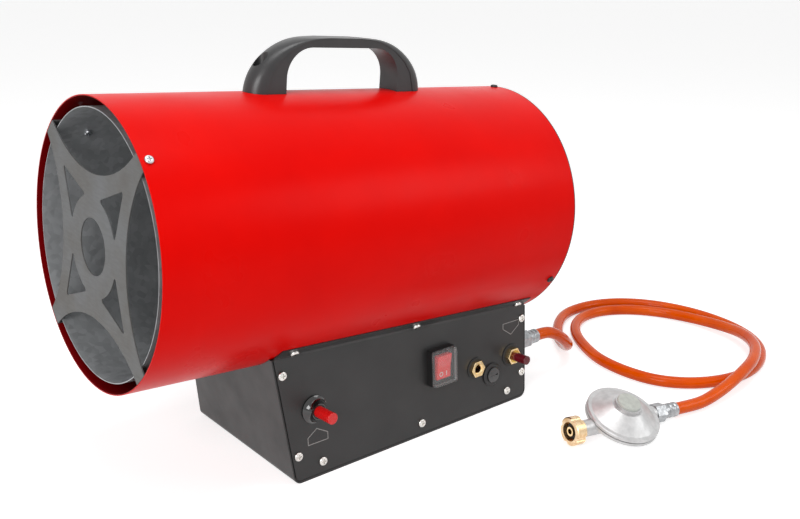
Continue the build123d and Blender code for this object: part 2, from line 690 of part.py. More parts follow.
# ---------------------------------------------------------------- rocker switch
switch_x = base_rear_x - 133.6
switch_z = 74.5
frame_width = 34.0
frame_height = 41.0
frame_depth = 8.5
frame_wall = 1.6
frame_floor = 4.4              # of the room round the rocker, over the panel
switch_body_width = 27.0
switch_body_height = 35.0
switch_body_depth = 26.0
rocker_width = 19.0
rocker_half = 13.5
rocker_pin_r = 1.6
rocker_pin_z = 2.0
rocker_room = 2.0              # past each end of the rocker, for its 12 degree swing
hood_wall = 1.0
hood_inset = 0.6
hood_front = 12.4
well_floor = -8.0
switch = on_panel(switch_x, switch_z)

panel_sheet -= switch * Box(switch_body_width + 2 * fit_gap, switch_body_height + 2 * fit_gap, 20)
frame = Pos(0, 0, frame_depth / 2) * Box(frame_width, frame_height, frame_depth)
frame = chamfer(frame.edges().filter_by(Axis.Z), 1.5)
frame -= Pos(0, 0, frame_floor + frame_depth / 2) * Box(frame_width - 2 * frame_wall,
                                                        frame_height - 2 * frame_wall, frame_depth)
frame += Pos(0, 0, -switch_body_depth / 2) * Box(switch_body_width, switch_body_height, switch_body_depth)
well_width = rocker_width + 2 * part_gap
well_height = 2 * (rocker_half + rocker_room)
frame -= Pos(0, 0, (frame_depth + 1 + well_floor) / 2) * Box(well_width, well_height,
                                                             frame_depth + 1 - well_floor)
pin_reach = well_width / 2 + 1.6
pin = Pos(0, 0, rocker_pin_z) * Rot(0, 90, 0) * Cylinder(rocker_pin_r, 2 * pin_reach)
pin_bore = Pos(0, 0, rocker_pin_z) * Rot(0, 90, 0) * Cylinder(rocker_pin_r + run_gap,
                                                              2 * (pin_reach + part_gap))
frame -= pin_bore
export(switch * frame, "switch_frame")

# the rocker's face is a shallow V, and its upper half stands out at rest
rocker_high = 10.8             # face at the upper end, over the panel
rocker_mid = 8.4
rocker_low = 7.6               # face at the lower end
rocker_profile = make_face([
    Line((rocker_half, 4.0), (rocker_half, rocker_high)), Line((rocker_half, rocker_high), (0, rocker_mid)),
    Line((0, rocker_mid), (-rocker_half, rocker_low)), Line((-rocker_half, rocker_low), (-rocker_half, 3.2)),
    ThreePointArc((-rocker_half, 3.2), (0, -4.5), (rocker_half, 4.0))])
rocker = extrude(Plane.YZ * rocker_profile, amount=rocker_width / 2, both=True)
rocker = fillet(rocker.edges().filter_by(Axis.X).group_by(Axis.Z)[-1], 0.8)
export(switch * (rocker + pin), "switch_rocker")

hood_outer = Pos(0, 0, (hood_front + frame_depth) / 2) * Box(frame_width - 2 * hood_inset,
                                                             frame_height - 2 * hood_inset,
                                                             hood_front - frame_depth)
hood_outer = fillet(hood_outer.edges().filter_by(Axis.Z), 3.0)
hood_outer = fillet(hood_outer.faces().sort_by(Axis.Z)[-1].edges(), 1.2)
hood_room = frame_wall + 2 * part_gap      # from the frame's outside to the hollow in the hood
hood = hood_outer - Pos(0, 0, (hood_front + frame_depth) / 2 - hood_wall) * Box(
    frame_width - 2 * hood_room, frame_height - 2 * hood_room, hood_front - frame_depth)
export(switch * hood, "switch_hood")

# ---------------------------------------------------------------- brass lead bushing
bushing_x = base_rear_x - 79.3
bushing_z = 55.6
brass_hex = 17.5
brass_hex_height = 4.2
bushing_bore_r = 4.4
bushing_shank_r = 6.0
bushing_sink = 1.6             # countersink at the bore's mouth
washer_r = 12.3
washer_height = 1.4
bushing = on_panel(bushing_x, bushing_z)
panel_sheet -= bushing * Cylinder(bushing_shank_r + fit_gap, 20)


def flat_washer(radius, bore, height):
    return revolved((bore, 0), (radius, 0), (radius, height * 0.6), (radius - 0.8, height), (bore, height))


bushing_washer = bushing * flat_washer(washer_r, bushing_shank_r + fit_gap, washer_height)
bushing_nut = Pos(0, 0, washer_height) * hex_prism(brass_hex, brass_hex_height, bushing_bore_r)
bushing_depth = 10.0
shank = Pos(0, 0, (washer_height + 0.5 - bushing_depth) / 2) * Cylinder(bushing_shank_r,
                                                                        washer_height + 0.5 + bushing_depth)
bushing_nut += shank
bushing_nut -= Cylinder(bushing_bore_r, 60)
bushing_mouth = washer_height + brass_hex_height
bushing_nut -= revolved((0, bushing_mouth - bushing_sink), (bushing_bore_r, bushing_mouth - bushing_sink),
                        (bushing_bore_r + bushing_sink, bushing_mouth), (0, bushing_mouth))
export(bushing * bushing_nut, "lead_bushing")
lock_nut_height = 4.0
back_nut = hex_prism(brass_hex, lock_nut_height, bushing_shank_r + fit_gap)
back_nut = Pos(0, 0, -sheet - lock_nut_height) * back_nut

# ---------------------------------------------------------------- fuse holder
fuse_x = base_rear_x - 54.7
fuse_z = 41.7
fuse_disc_r = 13.2
fuse_disc_height = 3.0
fuse_cap_r = 8.8
fuse_cap_height = 4.6
fuse_well_r = 5.0
fuse_body_r = 7.6
fuse_depth = 32.0
fuse = on_panel(fuse_x, fuse_z)
panel_sheet -= fuse * Cylinder(fuse_body_r + fit_gap, 20)
holder = revolved((0, 0), (fuse_disc_r, 0), (fuse_disc_r, 1.4), (fuse_disc_r - 1.6, fuse_disc_height),
                  (0, fuse_disc_height))
holder += Pos(0, 0, -fuse_depth / 2) * Cylinder(fuse_body_r, fuse_depth)
cap_seat = fuse_disc_height - 1.6
holder -= Pos(0, 0, cap_seat + 5) * Cylinder(fuse_cap_r + part_gap, 10)
well_bottom = -fuse_depth + 3.0
holder -= Pos(0, 0, (cap_seat + 1 + well_bottom) / 2) * Cylinder(fuse_well_r + run_gap,
                                                                 cap_seat + 1 - well_bottom)
export(fuse * holder, "fuse_holder")
cap_head = Pos(0, 0, cap_seat + part_gap + (fuse_cap_height - cap_seat - part_gap) / 2) * Cylinder(
    fuse_cap_r, fuse_cap_height - cap_seat - part_gap)
cap_head = chamfer(cap_head.edges().sort_by(Axis.Z)[-1], 0.6)
cap_head -= Pos(0, 0, fuse_cap_height) * Box(1.3 * fuse_cap_r, 1.8, 2.4)
cap_stem_depth = 10.0
cap_stem = Pos(0, 0, (cap_seat + 1 - cap_stem_depth) / 2) * Cylinder(fuse_well_r,
                                                                     cap_seat + 1 + cap_stem_depth)
export(fuse * (cap_head + cap_stem), "fuse_cap")
fuse_link_r = 2.6
fuse_link = Pos(0, 0, (well_bottom - cap_stem_depth - part_gap) / 2) * Cylinder(
    fuse_link_r, -cap_stem_depth - part_gap - well_bottom)
export(fuse * fuse_link, "fuse_link")

# ---------------------------------------------------------------- gas valve
valve_x = base_rear_x - 23.5
valve_z = 56.6
valve_washer_r = 13.3
valve_nut_height = 5.6
valve_button_r = 5.2
valve_button_tip = 26.0
valve_button_travel = 6.0
valve_shank_r = 7.2
valve_block = 26.0             # square across the panel
valve_depth = 27.0
valve = on_panel(valve_x, valve_z)
panel_sheet -= valve * Cylinder(valve_shank_r + fit_gap, 20)
valve_washer = valve * flat_washer(valve_washer_r, valve_shank_r + fit_gap, washer_height)
export(Compound([bushing_washer, valve_washer]), "panel_washers")
valve_nut = Pos(0, 0, washer_height) * hex_prism(brass_hex, valve_nut_height, valve_shank_r + fit_gap)
export(valve * valve_nut, "valve_nut")
valve_top = washer_height + valve_nut_height
valve_body = Pos(0, 0, -sheet - valve_depth / 2) * Box(valve_block, valve_block, valve_depth)
valve_body = chamfer(valve_body.edges().filter_by(Axis.Z), 1.0)
valve_body += Pos(0, 0, (valve_top - sheet - 1) / 2) * Cylinder(valve_shank_r, valve_top + sheet + 1)
valve_floor = -valve_depth + 4.0
valve_body -= Pos(0, 0, (valve_top + 1 + valve_floor) / 2) * Cylinder(valve_button_r + run_gap,
                                                                     valve_top + 1 - valve_floor)
export(valve * valve_body, "gas_valve_body")
valve_button_length = 38.0
valve_button = Pos(0, 0, valve_button_tip - valve_button_length / 2) * Cylinder(valve_button_r,
                                                                                valve_button_length)
valve_button = fillet(valve_button.edges().sort_by(Axis.Z)[-1], 0.7)
export(valve * valve_button, "gas_valve_button")
valve_spring_height = valve_button_tip - valve_button_length - valve_button_travel - part_gap - valve_floor
valve_spring = Pos(0, 0, valve_floor + valve_spring_height / 2) * (
    Cylinder(spring_r, valve_spring_height) - Cylinder(spring_bore_r, valve_spring_height * 2))
export(Compound([igniter * igniter_spring, valve * valve_spring]), "button_springs")
export(panel_sheet, "control_panel")

# ---------------------------------------------------------------- rear wall: gas inlet and cable gland
inlet_y = 17.8 - base_half_width
inlet_z = 62.0
inlet_hex = 19.0
inlet_hex_length = 16.5
inlet_shank_r = 6.0
inlet_neck = 1.2               # seen between the hexagon and the ferrule
inlet_bore_r = 2.5
ferrule_r = 8.2
inlet_ferrule_length = 14.5
hose_start = Vector(base_rear_x + inlet_hex_length + inlet_neck + inlet_ferrule_length, inlet_y, inlet_z)


def along_x(shape, x, y, z):
    """Places a shape made along +Z so that it points along +X."""
    return Pos(x, y, z) * Rot(0, 90, 0) * shape


tray -= along_x(Cylinder(inlet_shank_r + fit_gap, 20), base_rear_x, inlet_y, inlet_z)
inlet = along_x(hex_prism(inlet_hex, inlet_hex_length, inlet_bore_r), base_rear_x, inlet_y, inlet_z)
shank_in = valve_x + valve_block / 2
ferrule_in = hose_start.X - inlet_ferrule_length
shank = Cylinder(inlet_shank_r, ferrule_in - shank_in)
inlet += along_x(shank, (ferrule_in + shank_in) / 2, inlet_y, inlet_z)
inlet -= along_x(Cylinder(inlet_bore_r, reach), base_rear_x, inlet_y, inlet_z)
export(inlet, "gas_inlet_fitting")


def ferrule(length):
    """Crimped sleeve along +Z from 0, with two pressed grooves and an inward end."""
    groove = length / 7
    low_r = ferrule_r - 0.7
    return revolved((inlet_bore_r, 0), (low_r, 0), (ferrule_r, 0.7), (ferrule_r, 1.5 * groove),
                    (low_r, 2 * groove), (low_r, 2.6 * groove), (ferrule_r, 3.1 * groove),
                    (ferrule_r, 4 * groove),
                    (low_r, 4.5 * groove), (low_r, 5.1 * groove), (ferrule_r, 5.6 * groove),
                    (ferrule_r, length - 0.7), (low_r, length), (inlet_bore_r, length))


export(along_x(ferrule(inlet_ferrule_length), ferrule_in, inlet_y, inlet_z), "heater_hose_ferrule")

gland_y = base_half_width - 48.8
gland_z = 40.0
gland_hex = 20.0
gland_bore_r = 4.0
gland_thread_r = 7.5
gland_length = 14.0
tray -= along_x(Cylinder(gland_thread_r + fit_gap, 20), base_rear_x, gland_y, gland_z)
gland = along_x(hex_prism(gland_hex, gland_length, gland_bore_r), base_rear_x, gland_y, gland_z)
gland_thread = Cylinder(gland_thread_r, 12) - Cylinder(gland_bore_r, 20)
gland += along_x(gland_thread, base_rear_x - 5.5, gland_y, gland_z)
gland += along_x(revolved((gland_bore_r, gland_length), (9.0, gland_length), (6.5, gland_length + 6),
                          (gland_bore_r, gland_length + 6)), base_rear_x, gland_y, gland_z)
export(gland, "cable_gland")
gland_nut = hex_prism(inlet_hex, lock_nut_height, gland_thread_r + fit_gap)
gland_nut = along_x(gland_nut, base_rear_x - sheet - lock_nut_height, gland_y, gland_z)
export(Compound([bushing * back_nut, gland_nut]), "lock_nuts")

# ---------------------------------------------------------------- inside the base
terminal_size = (52.0, 20.0, 17.0)
terminal_x = base_middle_x - 23.0
terminal_y = 30.0
terminal = Pos(terminal_x, terminal_y, sheet + terminal_size[2] / 2) * Box(*terminal_size)
for n in range(4):
    hole_x = terminal_x + (n - 1.5) * 11.0
    terminal -= Pos(hole_x, terminal_y, sheet + terminal_size[2]) * Cylinder(2.6, 14)
    terminal -= Pos(hole_x, terminal_y, sheet + 6) * Rot(90, 0, 0) * Cylinder(2.0, 60)
export(terminal, "terminal_block")
export(tray, "base_tray")

pipe_turn = tube_rear + 50.0   # along the barrel axis, where the pipe turns down
pipe_drop = casing_r - 12.5
pipe_points = [(barrel * Pos(nozzle_back + 12, 0, 0)).position, (barrel * Pos(pipe_turn, 0, 0)).position,
               (barrel * Pos(pipe_turn, 0, -pipe_drop)).position]
valve_centre = on_panel(valve_x, valve_z, sheet + valve_depth / 2).position
pipe_points += [Vector(pipe_points[-1].X, 0, valve_centre.Z),
                Vector(valve_x - 45, valve_centre.Y, valve_centre.Z),
                Vector(valve_x - valve_block / 2, valve_centre.Y, valve_centre.Z)]
pipe_bends = [20.0, 40.0, 22.0, 22.0]
export(arc_tube(pipe_points, pipe_bends, pipe_r), "gas_pipe")

# leads from the igniter to the electrode and from the probe to the gas valve
lead_r = 1.6
lead_slot_y = 10.0             # beside the gas pipe, through the slot under the barrel
electrode_end = (barrel * Pos(electrode_back, 0, electrode_offset)).position
igniter_end = on_panel(igniter_x, igniter_z, igniter_depth).position
lead_height = 62.0             # where the ignition lead runs forward in the base
ignition_lead = [electrode_end, (barrel * Pos(tube_rear + 38, 0, electrode_offset)).position,
                 (barrel * Pos(tube_rear + 40, lead_slot_y, -20)).position,
                 (barrel * Pos(tube_rear + 40, lead_slot_y, -casing_r)).position,
                 Vector(tube_rear + 20, lead_slot_y, lead_height),
                 Vector(igniter_x + 33, -lead_slot_y, lead_height),
                 on_panel(igniter_x, igniter_z, igniter_depth + 26).position, igniter_end]
probe_end = (barrel * Pos(probe_back, 0, -probe_offset)).position
valve_back = on_panel(valve_x, valve_z, sheet + valve_depth).position
probe_lead = [probe_end, (barrel * Pos(tube_rear + 28, 0, -probe_offset)).position,
              (barrel * Pos(tube_rear + 36, -lead_slot_y, -70)).position,
              (barrel * Pos(tube_rear + 36, -lead_slot_y, -casing_r)).position,
              Vector(tube_rear + 42, -lead_slot_y - 2, 42), Vector(valve_x - 51, -24, 40),
              on_panel(valve_x, valve_z, sheet + valve_depth + 30).position, valve_back]
export(Compound([arc_tube(ignition_lead, run_radii(ignition_lead), lead_r),
                 arc_tube(probe_lead, run_radii(probe_lead), lead_r)]), "internal_leads")

# ---------------------------------------------------------------- handle
handle_width = 30.0
# heights over the casing's top, each with half the handle's length there
handle_levels = [(-2.5, 105.4), (18.5, 99.5), (29.5, 91.3), (39.9, 78.5), (47.8, 62.0), (51.2, 46.0),
                 (52.2, 31.0)]
handle_step = 0.6              # the flat sides lie this deep under the rounded ends
grip_half = 68.0
grip_rise = 43.0               # top of the opening for the hand, over the casing's top
grip_corner_r = 29.0
pocket_r = 6.8
pocket_floor_rise = 7.5
pocket_floor = casing_r + pocket_floor_rise


def stadium(half_length, rise):
    return Plane.XY.offset(casing_r + rise) * SlotOverall(2 * half_length, handle_width)


def flat_side(half_length, rise):
    return Plane.XY.offset(casing_r + rise) * Rectangle(2 * half_length - handle_width, 2 * handle_width)


handle = loft([stadium(half, rise) for rise, half in handle_levels])
flats = loft([flat_side(half, rise) for rise, half in handle_levels], ruled=True)
flat_cut = Box(reach, handle_width + 2 * handle_step, reach)
for side in (1, -1):
    handle -= flats & Pos(0, side * handle_width, casing_r) * flat_cut
grip_block = Pos(0, 0, casing_r) * Box(2 * grip_half, 4 * handle_width, 2 * grip_rise)
handle -= fillet(grip_block.edges().filter_by(Axis.Y).group_by(Axis.Z)[-1], grip_corner_r)
pocket = Cylinder(pocket_r, handle_width + grip_rise, align=(Align.CENTER, Align.CENTER, Align.MIN))
for side in (1, -1):
    handle -= Pos(side * handle_screw_offset, 0, pocket_floor) * pocket
    handle -= Pos(side * handle_screw_offset, 0, casing_r) * Cylinder(hole_r, grip_rise)
handle = Pos(handle_middle, 0, 0) * handle - cylinder_x(casing_r + fit_gap, -reach, reach)
export(barrel * handle, "handle")
handle_screw_length = pocket_floor - casing_bore_r + 4
handle_screws = [Pos(handle_middle + side * handle_screw_offset, 0, pocket_floor + flat_seat_gap)
                 * pan_screw(handle_screw_length) for side in (1, -1)]
export(barrel * Compound(handle_screws), "handle_screws")

# ---------------------------------------------------------------- gas hose on the floor
lie = hose_r + floor_gap       # centre of a hose that lies on the floor
# x from the base's rear wall, y from the inlet's axis; the hose leaves the inlet ferrule straight
hose_run = [
    (45.5, 0, inlet_z), (59, 0, 59.2), (74, 0.5, 51.5), (88.5, 3, 41), (102.5, 9, 30), (115.5, 19, 20.5),
    (127.5, 33, 13), (138.5, 48, 8.8), (150.5, 64, lie), (164.5, 78, lie), (179.5, 91, lie),
    (196.5, 103, lie), (215.5, 113, lie), (239.5, 119.5, lie), (278.5, 118, lie), (318.5, 101, lie),
    (351.5, 67, lie), (371.5, 19, lie), (375.5, -33, lie), (364.5, -81, lie), (339.5, -118, lie),
    (302.5, -142, lie), (259.5, -154, lie), (213.5, -150, lie), (172.5, -131, lie), (143.5, -99, lie),
    (134.5, -56, lie), (138.5, -14, lie), (153.5, 20, lie), (174.5, 54, lie), (201.5, 80, lie),
    (235.5, 95, lie), (274.5, 93, lie), (312.5, 71, lie), (340.5, 33, lie), (353.5, -14, 8.5),
    (349.5, -61, 13), (332.5, -99, 19.5), (303.5, -132, 22.5), (263.5, -154, 22.8), (221.5, -165, 21.8),
    (185.5, -169, 16.2), (158.5, -169.3, 11.7), (135.5, -168.2, 8.9), (113.9, -164.6, 9),
    (92.8, -160.6, 10.2)]
hose_points = [(hose_start.X, hose_start.Y, hose_start.Z)]
hose_points += [(base_rear_x + x, inlet_y + y, z) for x, y, z in hose_run]
hose_radii = run_radii(hose_points)
hose = arc_tube(hose_points, hose_radii, hose_r)
hose_path = FilletPolyline(*hose_points, radius=hose_radii)
export(hose, "gas_hose")
print("hose radii", [round(r) for r in hose_radii], "least", round(min(hose_radii), 1))
print("hose length", round(hose_path.length, 1), "volume over section times length",
      round(hose.volume / (math.pi * hose_r ** 2 * hose_path.length), 5))
samples = 700
step = hose_path.length / samples
spots = [hose_path.position_at(n / samples) for n in range(samples + 1)]
apart = int(60 / step)
least = min((spots[n] - spots[m]).length for n in range(samples + 1) for m in range(n + apart, samples + 1))
print("least gap of the hose to itself", round(least - 2 * hose_r, 2))

# ---------------------------------------------------------------- regulator at the hose's end
regulator_reach = 80.5         # from the hose's end to the middle of the diaphragm
regulator_roll = 20.0          # degrees that the body leans over on its flange
flange_r = 41.0
flange_half = 4.0
flange_rise = 7.5              # flange's mid-plane over the gas line
bonnet_r = 37.0
bonnet_top_r = 17.0
bonnet_height = 11.5
neck_r = 14.8
neck_height = 4.0
bowl_r = 34.0
bowl_low_r = 16.0
bowl_depth = 12.6
gas_line_r = 9.0
gas_bore_r = 3.0
outlet_reach = 47.0
outlet_hex = 19.0
outlet_hex_length = 14.0
inlet_reach = 56.5
nipple_r = 6.5
hose_end = Vector(*hose_points[-1])
hose_toward = (hose_end - Vector(*hose_points[-2])).normalized()
level = Plane(origin=hose_end + hose_toward * regulator_reach, x_dir=-hose_toward,
              z_dir=(-hose_toward).cross(Vector(0, 0, 1).cross(-hose_toward)))
regulator = level.location * Rot(regulator_roll, 0, 0)
# from here x points to the hose, z stands square on the diaphragm


def cone(low_r, high_r, low, high):
    return revolved((0, low), (low_r, low), (high_r, high), (0, high))


diaphragm_half = 0.5
bowl_floor = flange_rise - flange_half - bowl_depth
body_top = flange_rise - diaphragm_half
body = revolved((0, bowl_floor), (bowl_low_r, bowl_floor), (bowl_r, flange_rise - flange_half),
                (flange_r, flange_rise - flange_half), (flange_r, body_top), (0, body_top))
body += cylinder_x(gas_line_r, -inlet_reach, outlet_reach)
body -= Pos(0, 0, body_top + gas_line_r) * Cylinder(flange_r + part_gap, 2 * gas_line_r)
chamber_r = 30.0
body -= cone(bowl_low_r - 4, chamber_r, bowl_floor + 3.0, body_top + 0.5)
body -= cylinder_x(gas_bore_r, -inlet_reach - 1, outlet_reach + 1)
export(regulator * body, "regulator_body")

seat_low = flange_rise + diaphragm_half
bonnet = cone(flange_r, flange_r, seat_low, flange_rise + flange_half - 1.0)
bonnet += cone(flange_r, flange_r - 1.0, flange_rise + flange_half - 1.0, flange_rise + flange_half)
bonnet_shoulder = flange_rise + flange_half + bonnet_height
bonnet_top = bonnet_shoulder + neck_height
bonnet += cone(bonnet_r, bonnet_top_r, flange_rise + flange_half - 0.5, bonnet_shoulder)
bonnet += cone(neck_r, neck_r, bonnet_shoulder - 1.0, bonnet_top)
spring_room_r = 11.0
bonnet -= cone(chamber_r, spring_room_r, seat_low - 1, bonnet_top - 4.0)
bonnet -= Pos(0, 0, bonnet_top) * Cylinder(spring_room_r, 20)
export(regulator * bonnet, "regulator_bonnet")
diaphragm = Pos(0, 0, flange_rise) * Cylinder(flange_r - 1.0, 2 * diaphragm_half)
cap_r = 13.0
cap_rise = 2.4
cap = Pos(0, 0, bonnet_top + cap_rise / 2) * Cylinder(cap_r, cap_rise)
cap = fillet(cap.edges().sort_by(Axis.Z)[-1], 1.2)
cap += Pos(0, 0, bonnet_top - 1.5) * Cylinder(spring_room_r - fit_gap, 5)
export(regulator * cap, "bonnet_cap")
spring_low = flange_rise + diaphragm_half
spring_high = bonnet_top - 4.0
plate_height = 1.5
spring = Pos(0, 0, spring_low + plate_height / 2) * Cylinder(14.0, plate_height)
spring += Pos(0, 0, (spring_low + spring_high) / 2) * (
    Cylinder(9.0, spring_high - spring_low) - Cylinder(7.0, spring_high - spring_low + 1))
export(regulator * spring, "regulator_spring")

outlet_nut = Pos(outlet_reach, 0, 0) * Rot(0, 90, 0) * hex_prism(outlet_hex, outlet_hex_length, gas_bore_r)
ferrule_start = outlet_reach + outlet_hex_length + inlet_neck
outlet_nut += ring_x(nipple_r, gas_bore_r, outlet_reach + outlet_hex_length - 1, ferrule_start)
export(regulator * outlet_nut, "outlet_nut")
outlet_ferrule = Pos(ferrule_start, 0, 0) * Rot(0, 90, 0) * ferrule(regulator_reach - ferrule_start)
export(regulator * outlet_ferrule, "regulator_hose_ferrule")

hand_nut_r = 15.4
hand_nut_length = 12.5
hand_nut_wall = 3.4
hand_thread_r = 10.2
nut_back = -inlet_reach - 1.0
notch_r = 3.4
nut_front = nut_back - hand_nut_length
nipple_head_r = 9.2
nipple_head = 2.6
nozzle_ring_r = 5.0
nozzle_sink = 0.8              # the nozzle's tip lies this deep in the nut
seal_height = 1.5
head_back = nut_back - hand_nut_wall - part_gap
nipple = ring_x(nipple_r, gas_bore_r, head_back - 1, -inlet_reach)
nipple += ring_x(nipple_head_r, gas_bore_r, head_back - nipple_head, head_back)
nipple += ring_x(nozzle_ring_r, gas_bore_r, nut_front + nozzle_sink, head_back - nipple_head)
export(regulator * nipple, "inlet_nipple")
seal = ring_x(nipple_head_r - 0.4, nozzle_ring_r + fit_gap, head_back - nipple_head - seal_height,
              head_back - nipple_head)
export(regulator * Compound([diaphragm, seal]), "regulator_seals")

hand_nut = cylinder_x(hand_nut_r, nut_front, nut_back)
hand_nut = chamfer(hand_nut.edges().filter_by(GeomType.CIRCLE), 1.0)
for n in range(4):
    notch = Pos(0, 0, hand_nut_r + 0.8) * cylinder_x(notch_r, nut_front - 1, nut_back + 1)
    hand_nut -= Rot(90 * n + 12 - regulator_roll, 0, 0) * notch
hand_nut -= cylinder_x(hand_thread_r, nut_front - 1, nut_back - hand_nut_wall)
hand_nut -= cylinder_x(nipple_r + run_gap, nut_front - 1, nut_back + 1)
export(regulator * hand_nut, "bottle_nut")
for name, shape in (("regulator", regulator * (body + bonnet)), ("hand nut", regulator * hand_nut)):
    print(name, "lowest", round(shape.bounding_box().min.Z, 2))
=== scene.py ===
import math

import bmesh
import bpy
from mathutils import Matrix, Vector


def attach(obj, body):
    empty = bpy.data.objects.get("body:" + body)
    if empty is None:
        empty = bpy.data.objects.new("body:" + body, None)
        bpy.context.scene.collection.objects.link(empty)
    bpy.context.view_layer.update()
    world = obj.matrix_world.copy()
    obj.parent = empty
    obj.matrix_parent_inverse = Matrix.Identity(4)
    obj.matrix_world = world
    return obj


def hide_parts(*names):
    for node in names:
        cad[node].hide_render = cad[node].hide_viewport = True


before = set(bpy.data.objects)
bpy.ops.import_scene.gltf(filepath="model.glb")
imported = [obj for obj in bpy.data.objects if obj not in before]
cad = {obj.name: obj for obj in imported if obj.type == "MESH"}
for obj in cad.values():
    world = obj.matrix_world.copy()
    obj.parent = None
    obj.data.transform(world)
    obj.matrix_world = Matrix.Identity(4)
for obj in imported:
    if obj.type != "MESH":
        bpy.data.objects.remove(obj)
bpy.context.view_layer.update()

# ------------------------------------------------------------------ camera
# A still-life camera on a stand, in front of the outlet's left corner and a little above the handle.
# Its place, turn and lens were solved from straight edges and known sizes on the heater.
camera_place = Vector((-0.56804, -0.80519, 0.51622))
camera_yaw = 0.6984
camera_pitch = 0.3210
camera_roll = 0.0172
camera_focal_px = 987.7
photo_width_px = 800
film_width_mm = 36.0

ahead = Vector((math.cos(camera_pitch) * math.sin(camera_yaw), math.cos(camera_pitch) * math.cos(camera_yaw),
                -math.sin(camera_pitch)))
level_right = Vector((math.cos(camera_yaw), -math.sin(camera_yaw), 0.0))
level_up = level_right.cross(ahead)
right = math.cos(camera_roll) * level_right + math.sin(camera_roll) * level_up
up = math.cos(camera_roll) * level_up - math.sin(camera_roll) * level_right
camera_data = bpy.data.cameras.new("camera")
camera_data.lens = camera_focal_px * film_width_mm / photo_width_px
camera_data.sensor_width = film_width_mm
camera_data.clip_end = 60.0
camera = bpy.data.objects.new("camera", camera_data)
bpy.context.collection.objects.link(camera)
turn = Matrix((right, up, -ahead)).transposed()
camera.matrix_world = Matrix.Translation(camera_place) @ turn.to_4x4()
bpy.context.scene.camera = camera
bpy.context.scene.view_settings.view_transform = "Standard"

# ------------------------------------------------------------------ gas hose
# A gas hose of orange rubber, 14 mm outside, extruded with a smooth cover over its braid. It leaves
# the heater's rear wall, bends down to the floor, lies there in one and a half loose loops and
# climbs over its own front arc to the regulator.
hose_lie = 0.0071
hose_route = [
    (0.2567, -0.076, 0.062), (0.27, -0.076, 0.062), (0.2835, -0.076, 0.0592), (0.2985, -0.0755, 0.0515),
    (0.313, -0.073, 0.041), (0.327, -0.067, 0.03), (0.34, -0.057, 0.0205), (0.352, -0.043, 0.013),
    (0.363, -0.028, 0.0088), (0.375, -0.012, hose_lie), (0.389, 0.002, hose_lie), (0.404, 0.015, hose_lie),
    (0.421, 0.027, hose_lie), (0.44, 0.037, hose_lie), (0.464, 0.0435, hose_lie), (0.503, 0.042, hose_lie),
    (0.543, 0.025, hose_lie), (0.576, -0.009, hose_lie), (0.596, -0.057, hose_lie), (0.6, -0.109, hose_lie),
    (0.589, -0.157, hose_lie), (0.564, -0.194, hose_lie), (0.527, -0.218, hose_lie),
    (0.484, -0.23, hose_lie), (0.438, -0.226, hose_lie), (0.397, -0.207, hose_lie),
    (0.368, -0.175, hose_lie), (0.359, -0.132, hose_lie), (0.363, -0.09, hose_lie),
    (0.378, -0.056, hose_lie), (0.399, -0.022, hose_lie), (0.426, 0.004, hose_lie), (0.46, 0.019, hose_lie),
    (0.499, 0.017, hose_lie), (0.537, -0.005, hose_lie), (0.565, -0.043, hose_lie), (0.578, -0.09, 0.0085),
    (0.574, -0.137, 0.013), (0.557, -0.175, 0.0195), (0.528, -0.208, 0.0225), (0.488, -0.23, 0.0228),
    (0.446, -0.241, 0.0218), (0.41, -0.245, 0.0162), (0.383, -0.2453, 0.0117), (0.36, -0.2442, 0.0089),
    (0.3384, -0.2406, 0.009), (0.3173, -0.2366, 0.0102)]
hose_diameter = 0.014


def linear(hex_colour):
    """An sRGB hex value as linear red, green, blue and alpha."""
    channels = [int(hex_colour[i:i + 2], 16) / 255 for i in (0, 2, 4)]
    return [c / 12.92 if c <= 0.04045 else ((c + 0.055) / 1.055) ** 2.4 for c in channels] + [1.0]


def add_node(tree, kind, settings=None, links=None):
    """Adds a node; settings go to its attributes or inputs, links come from other nodes' outputs."""
    made = tree.nodes.new(kind)
    for key, value in (settings or {}).items():
        if isinstance(key, str) and hasattr(made, key):
            setattr(made, key, value)
        else:
            made.inputs[key].default_value = value
    for key, source in (links or {}).items():
        tree.links.new(source, made.inputs[key])
    return made


def new_finish(name, colour, **shader):
    """A material whose shader starts from one hex colour and plain socket values."""
    finish = bpy.data.materials.new(name)
    finish.use_nodes = True
    shell = finish.node_tree.nodes["Principled BSDF"]
    shell.inputs["Base Color"].default_value = linear(colour)
    for socket, value in shader.items():
        shell.inputs[socket.replace("_", " ")].default_value = value
    return finish


def patches(tree, size, stretch, detail, roughness=0.5):
    """A soft random value over a piece, in patches about size metres across."""
    place = add_node(tree, "ShaderNodeTexCoord")
    spread = add_node(tree, "ShaderNodeMapping", {"Scale": [s / size for s in stretch]},
                      {"Vector": place.outputs["Object"]})
    noise = add_node(tree, "ShaderNodeTexNoise", {"Scale": 1.0, "Detail": detail, "Roughness": roughness},
                     {"Vector": spread.outputs["Vector"]})
    return noise.outputs["Fac"]


def two_tones(finish, first, second, size, stretch=(1, 1, 1), edge=0.15):
    """Soft patches of two colours, each about size metres across."""
    tree = finish.node_tree
    share = add_node(tree, "ShaderNodeMapRange", {"From Min": 0.5 - edge, "From Max": 0.5 + edge},
                     {"Value": patches(tree, size, stretch, 4.0, 0.6)})
    blend = add_node(tree, "ShaderNodeMix", {"data_type": "RGBA", 6: linear(first), 7: linear(second)},
                     {0: share.outputs["Result"]})
    tree.links.new(blend.outputs[2], tree.nodes["Principled BSDF"].inputs["Base Color"])


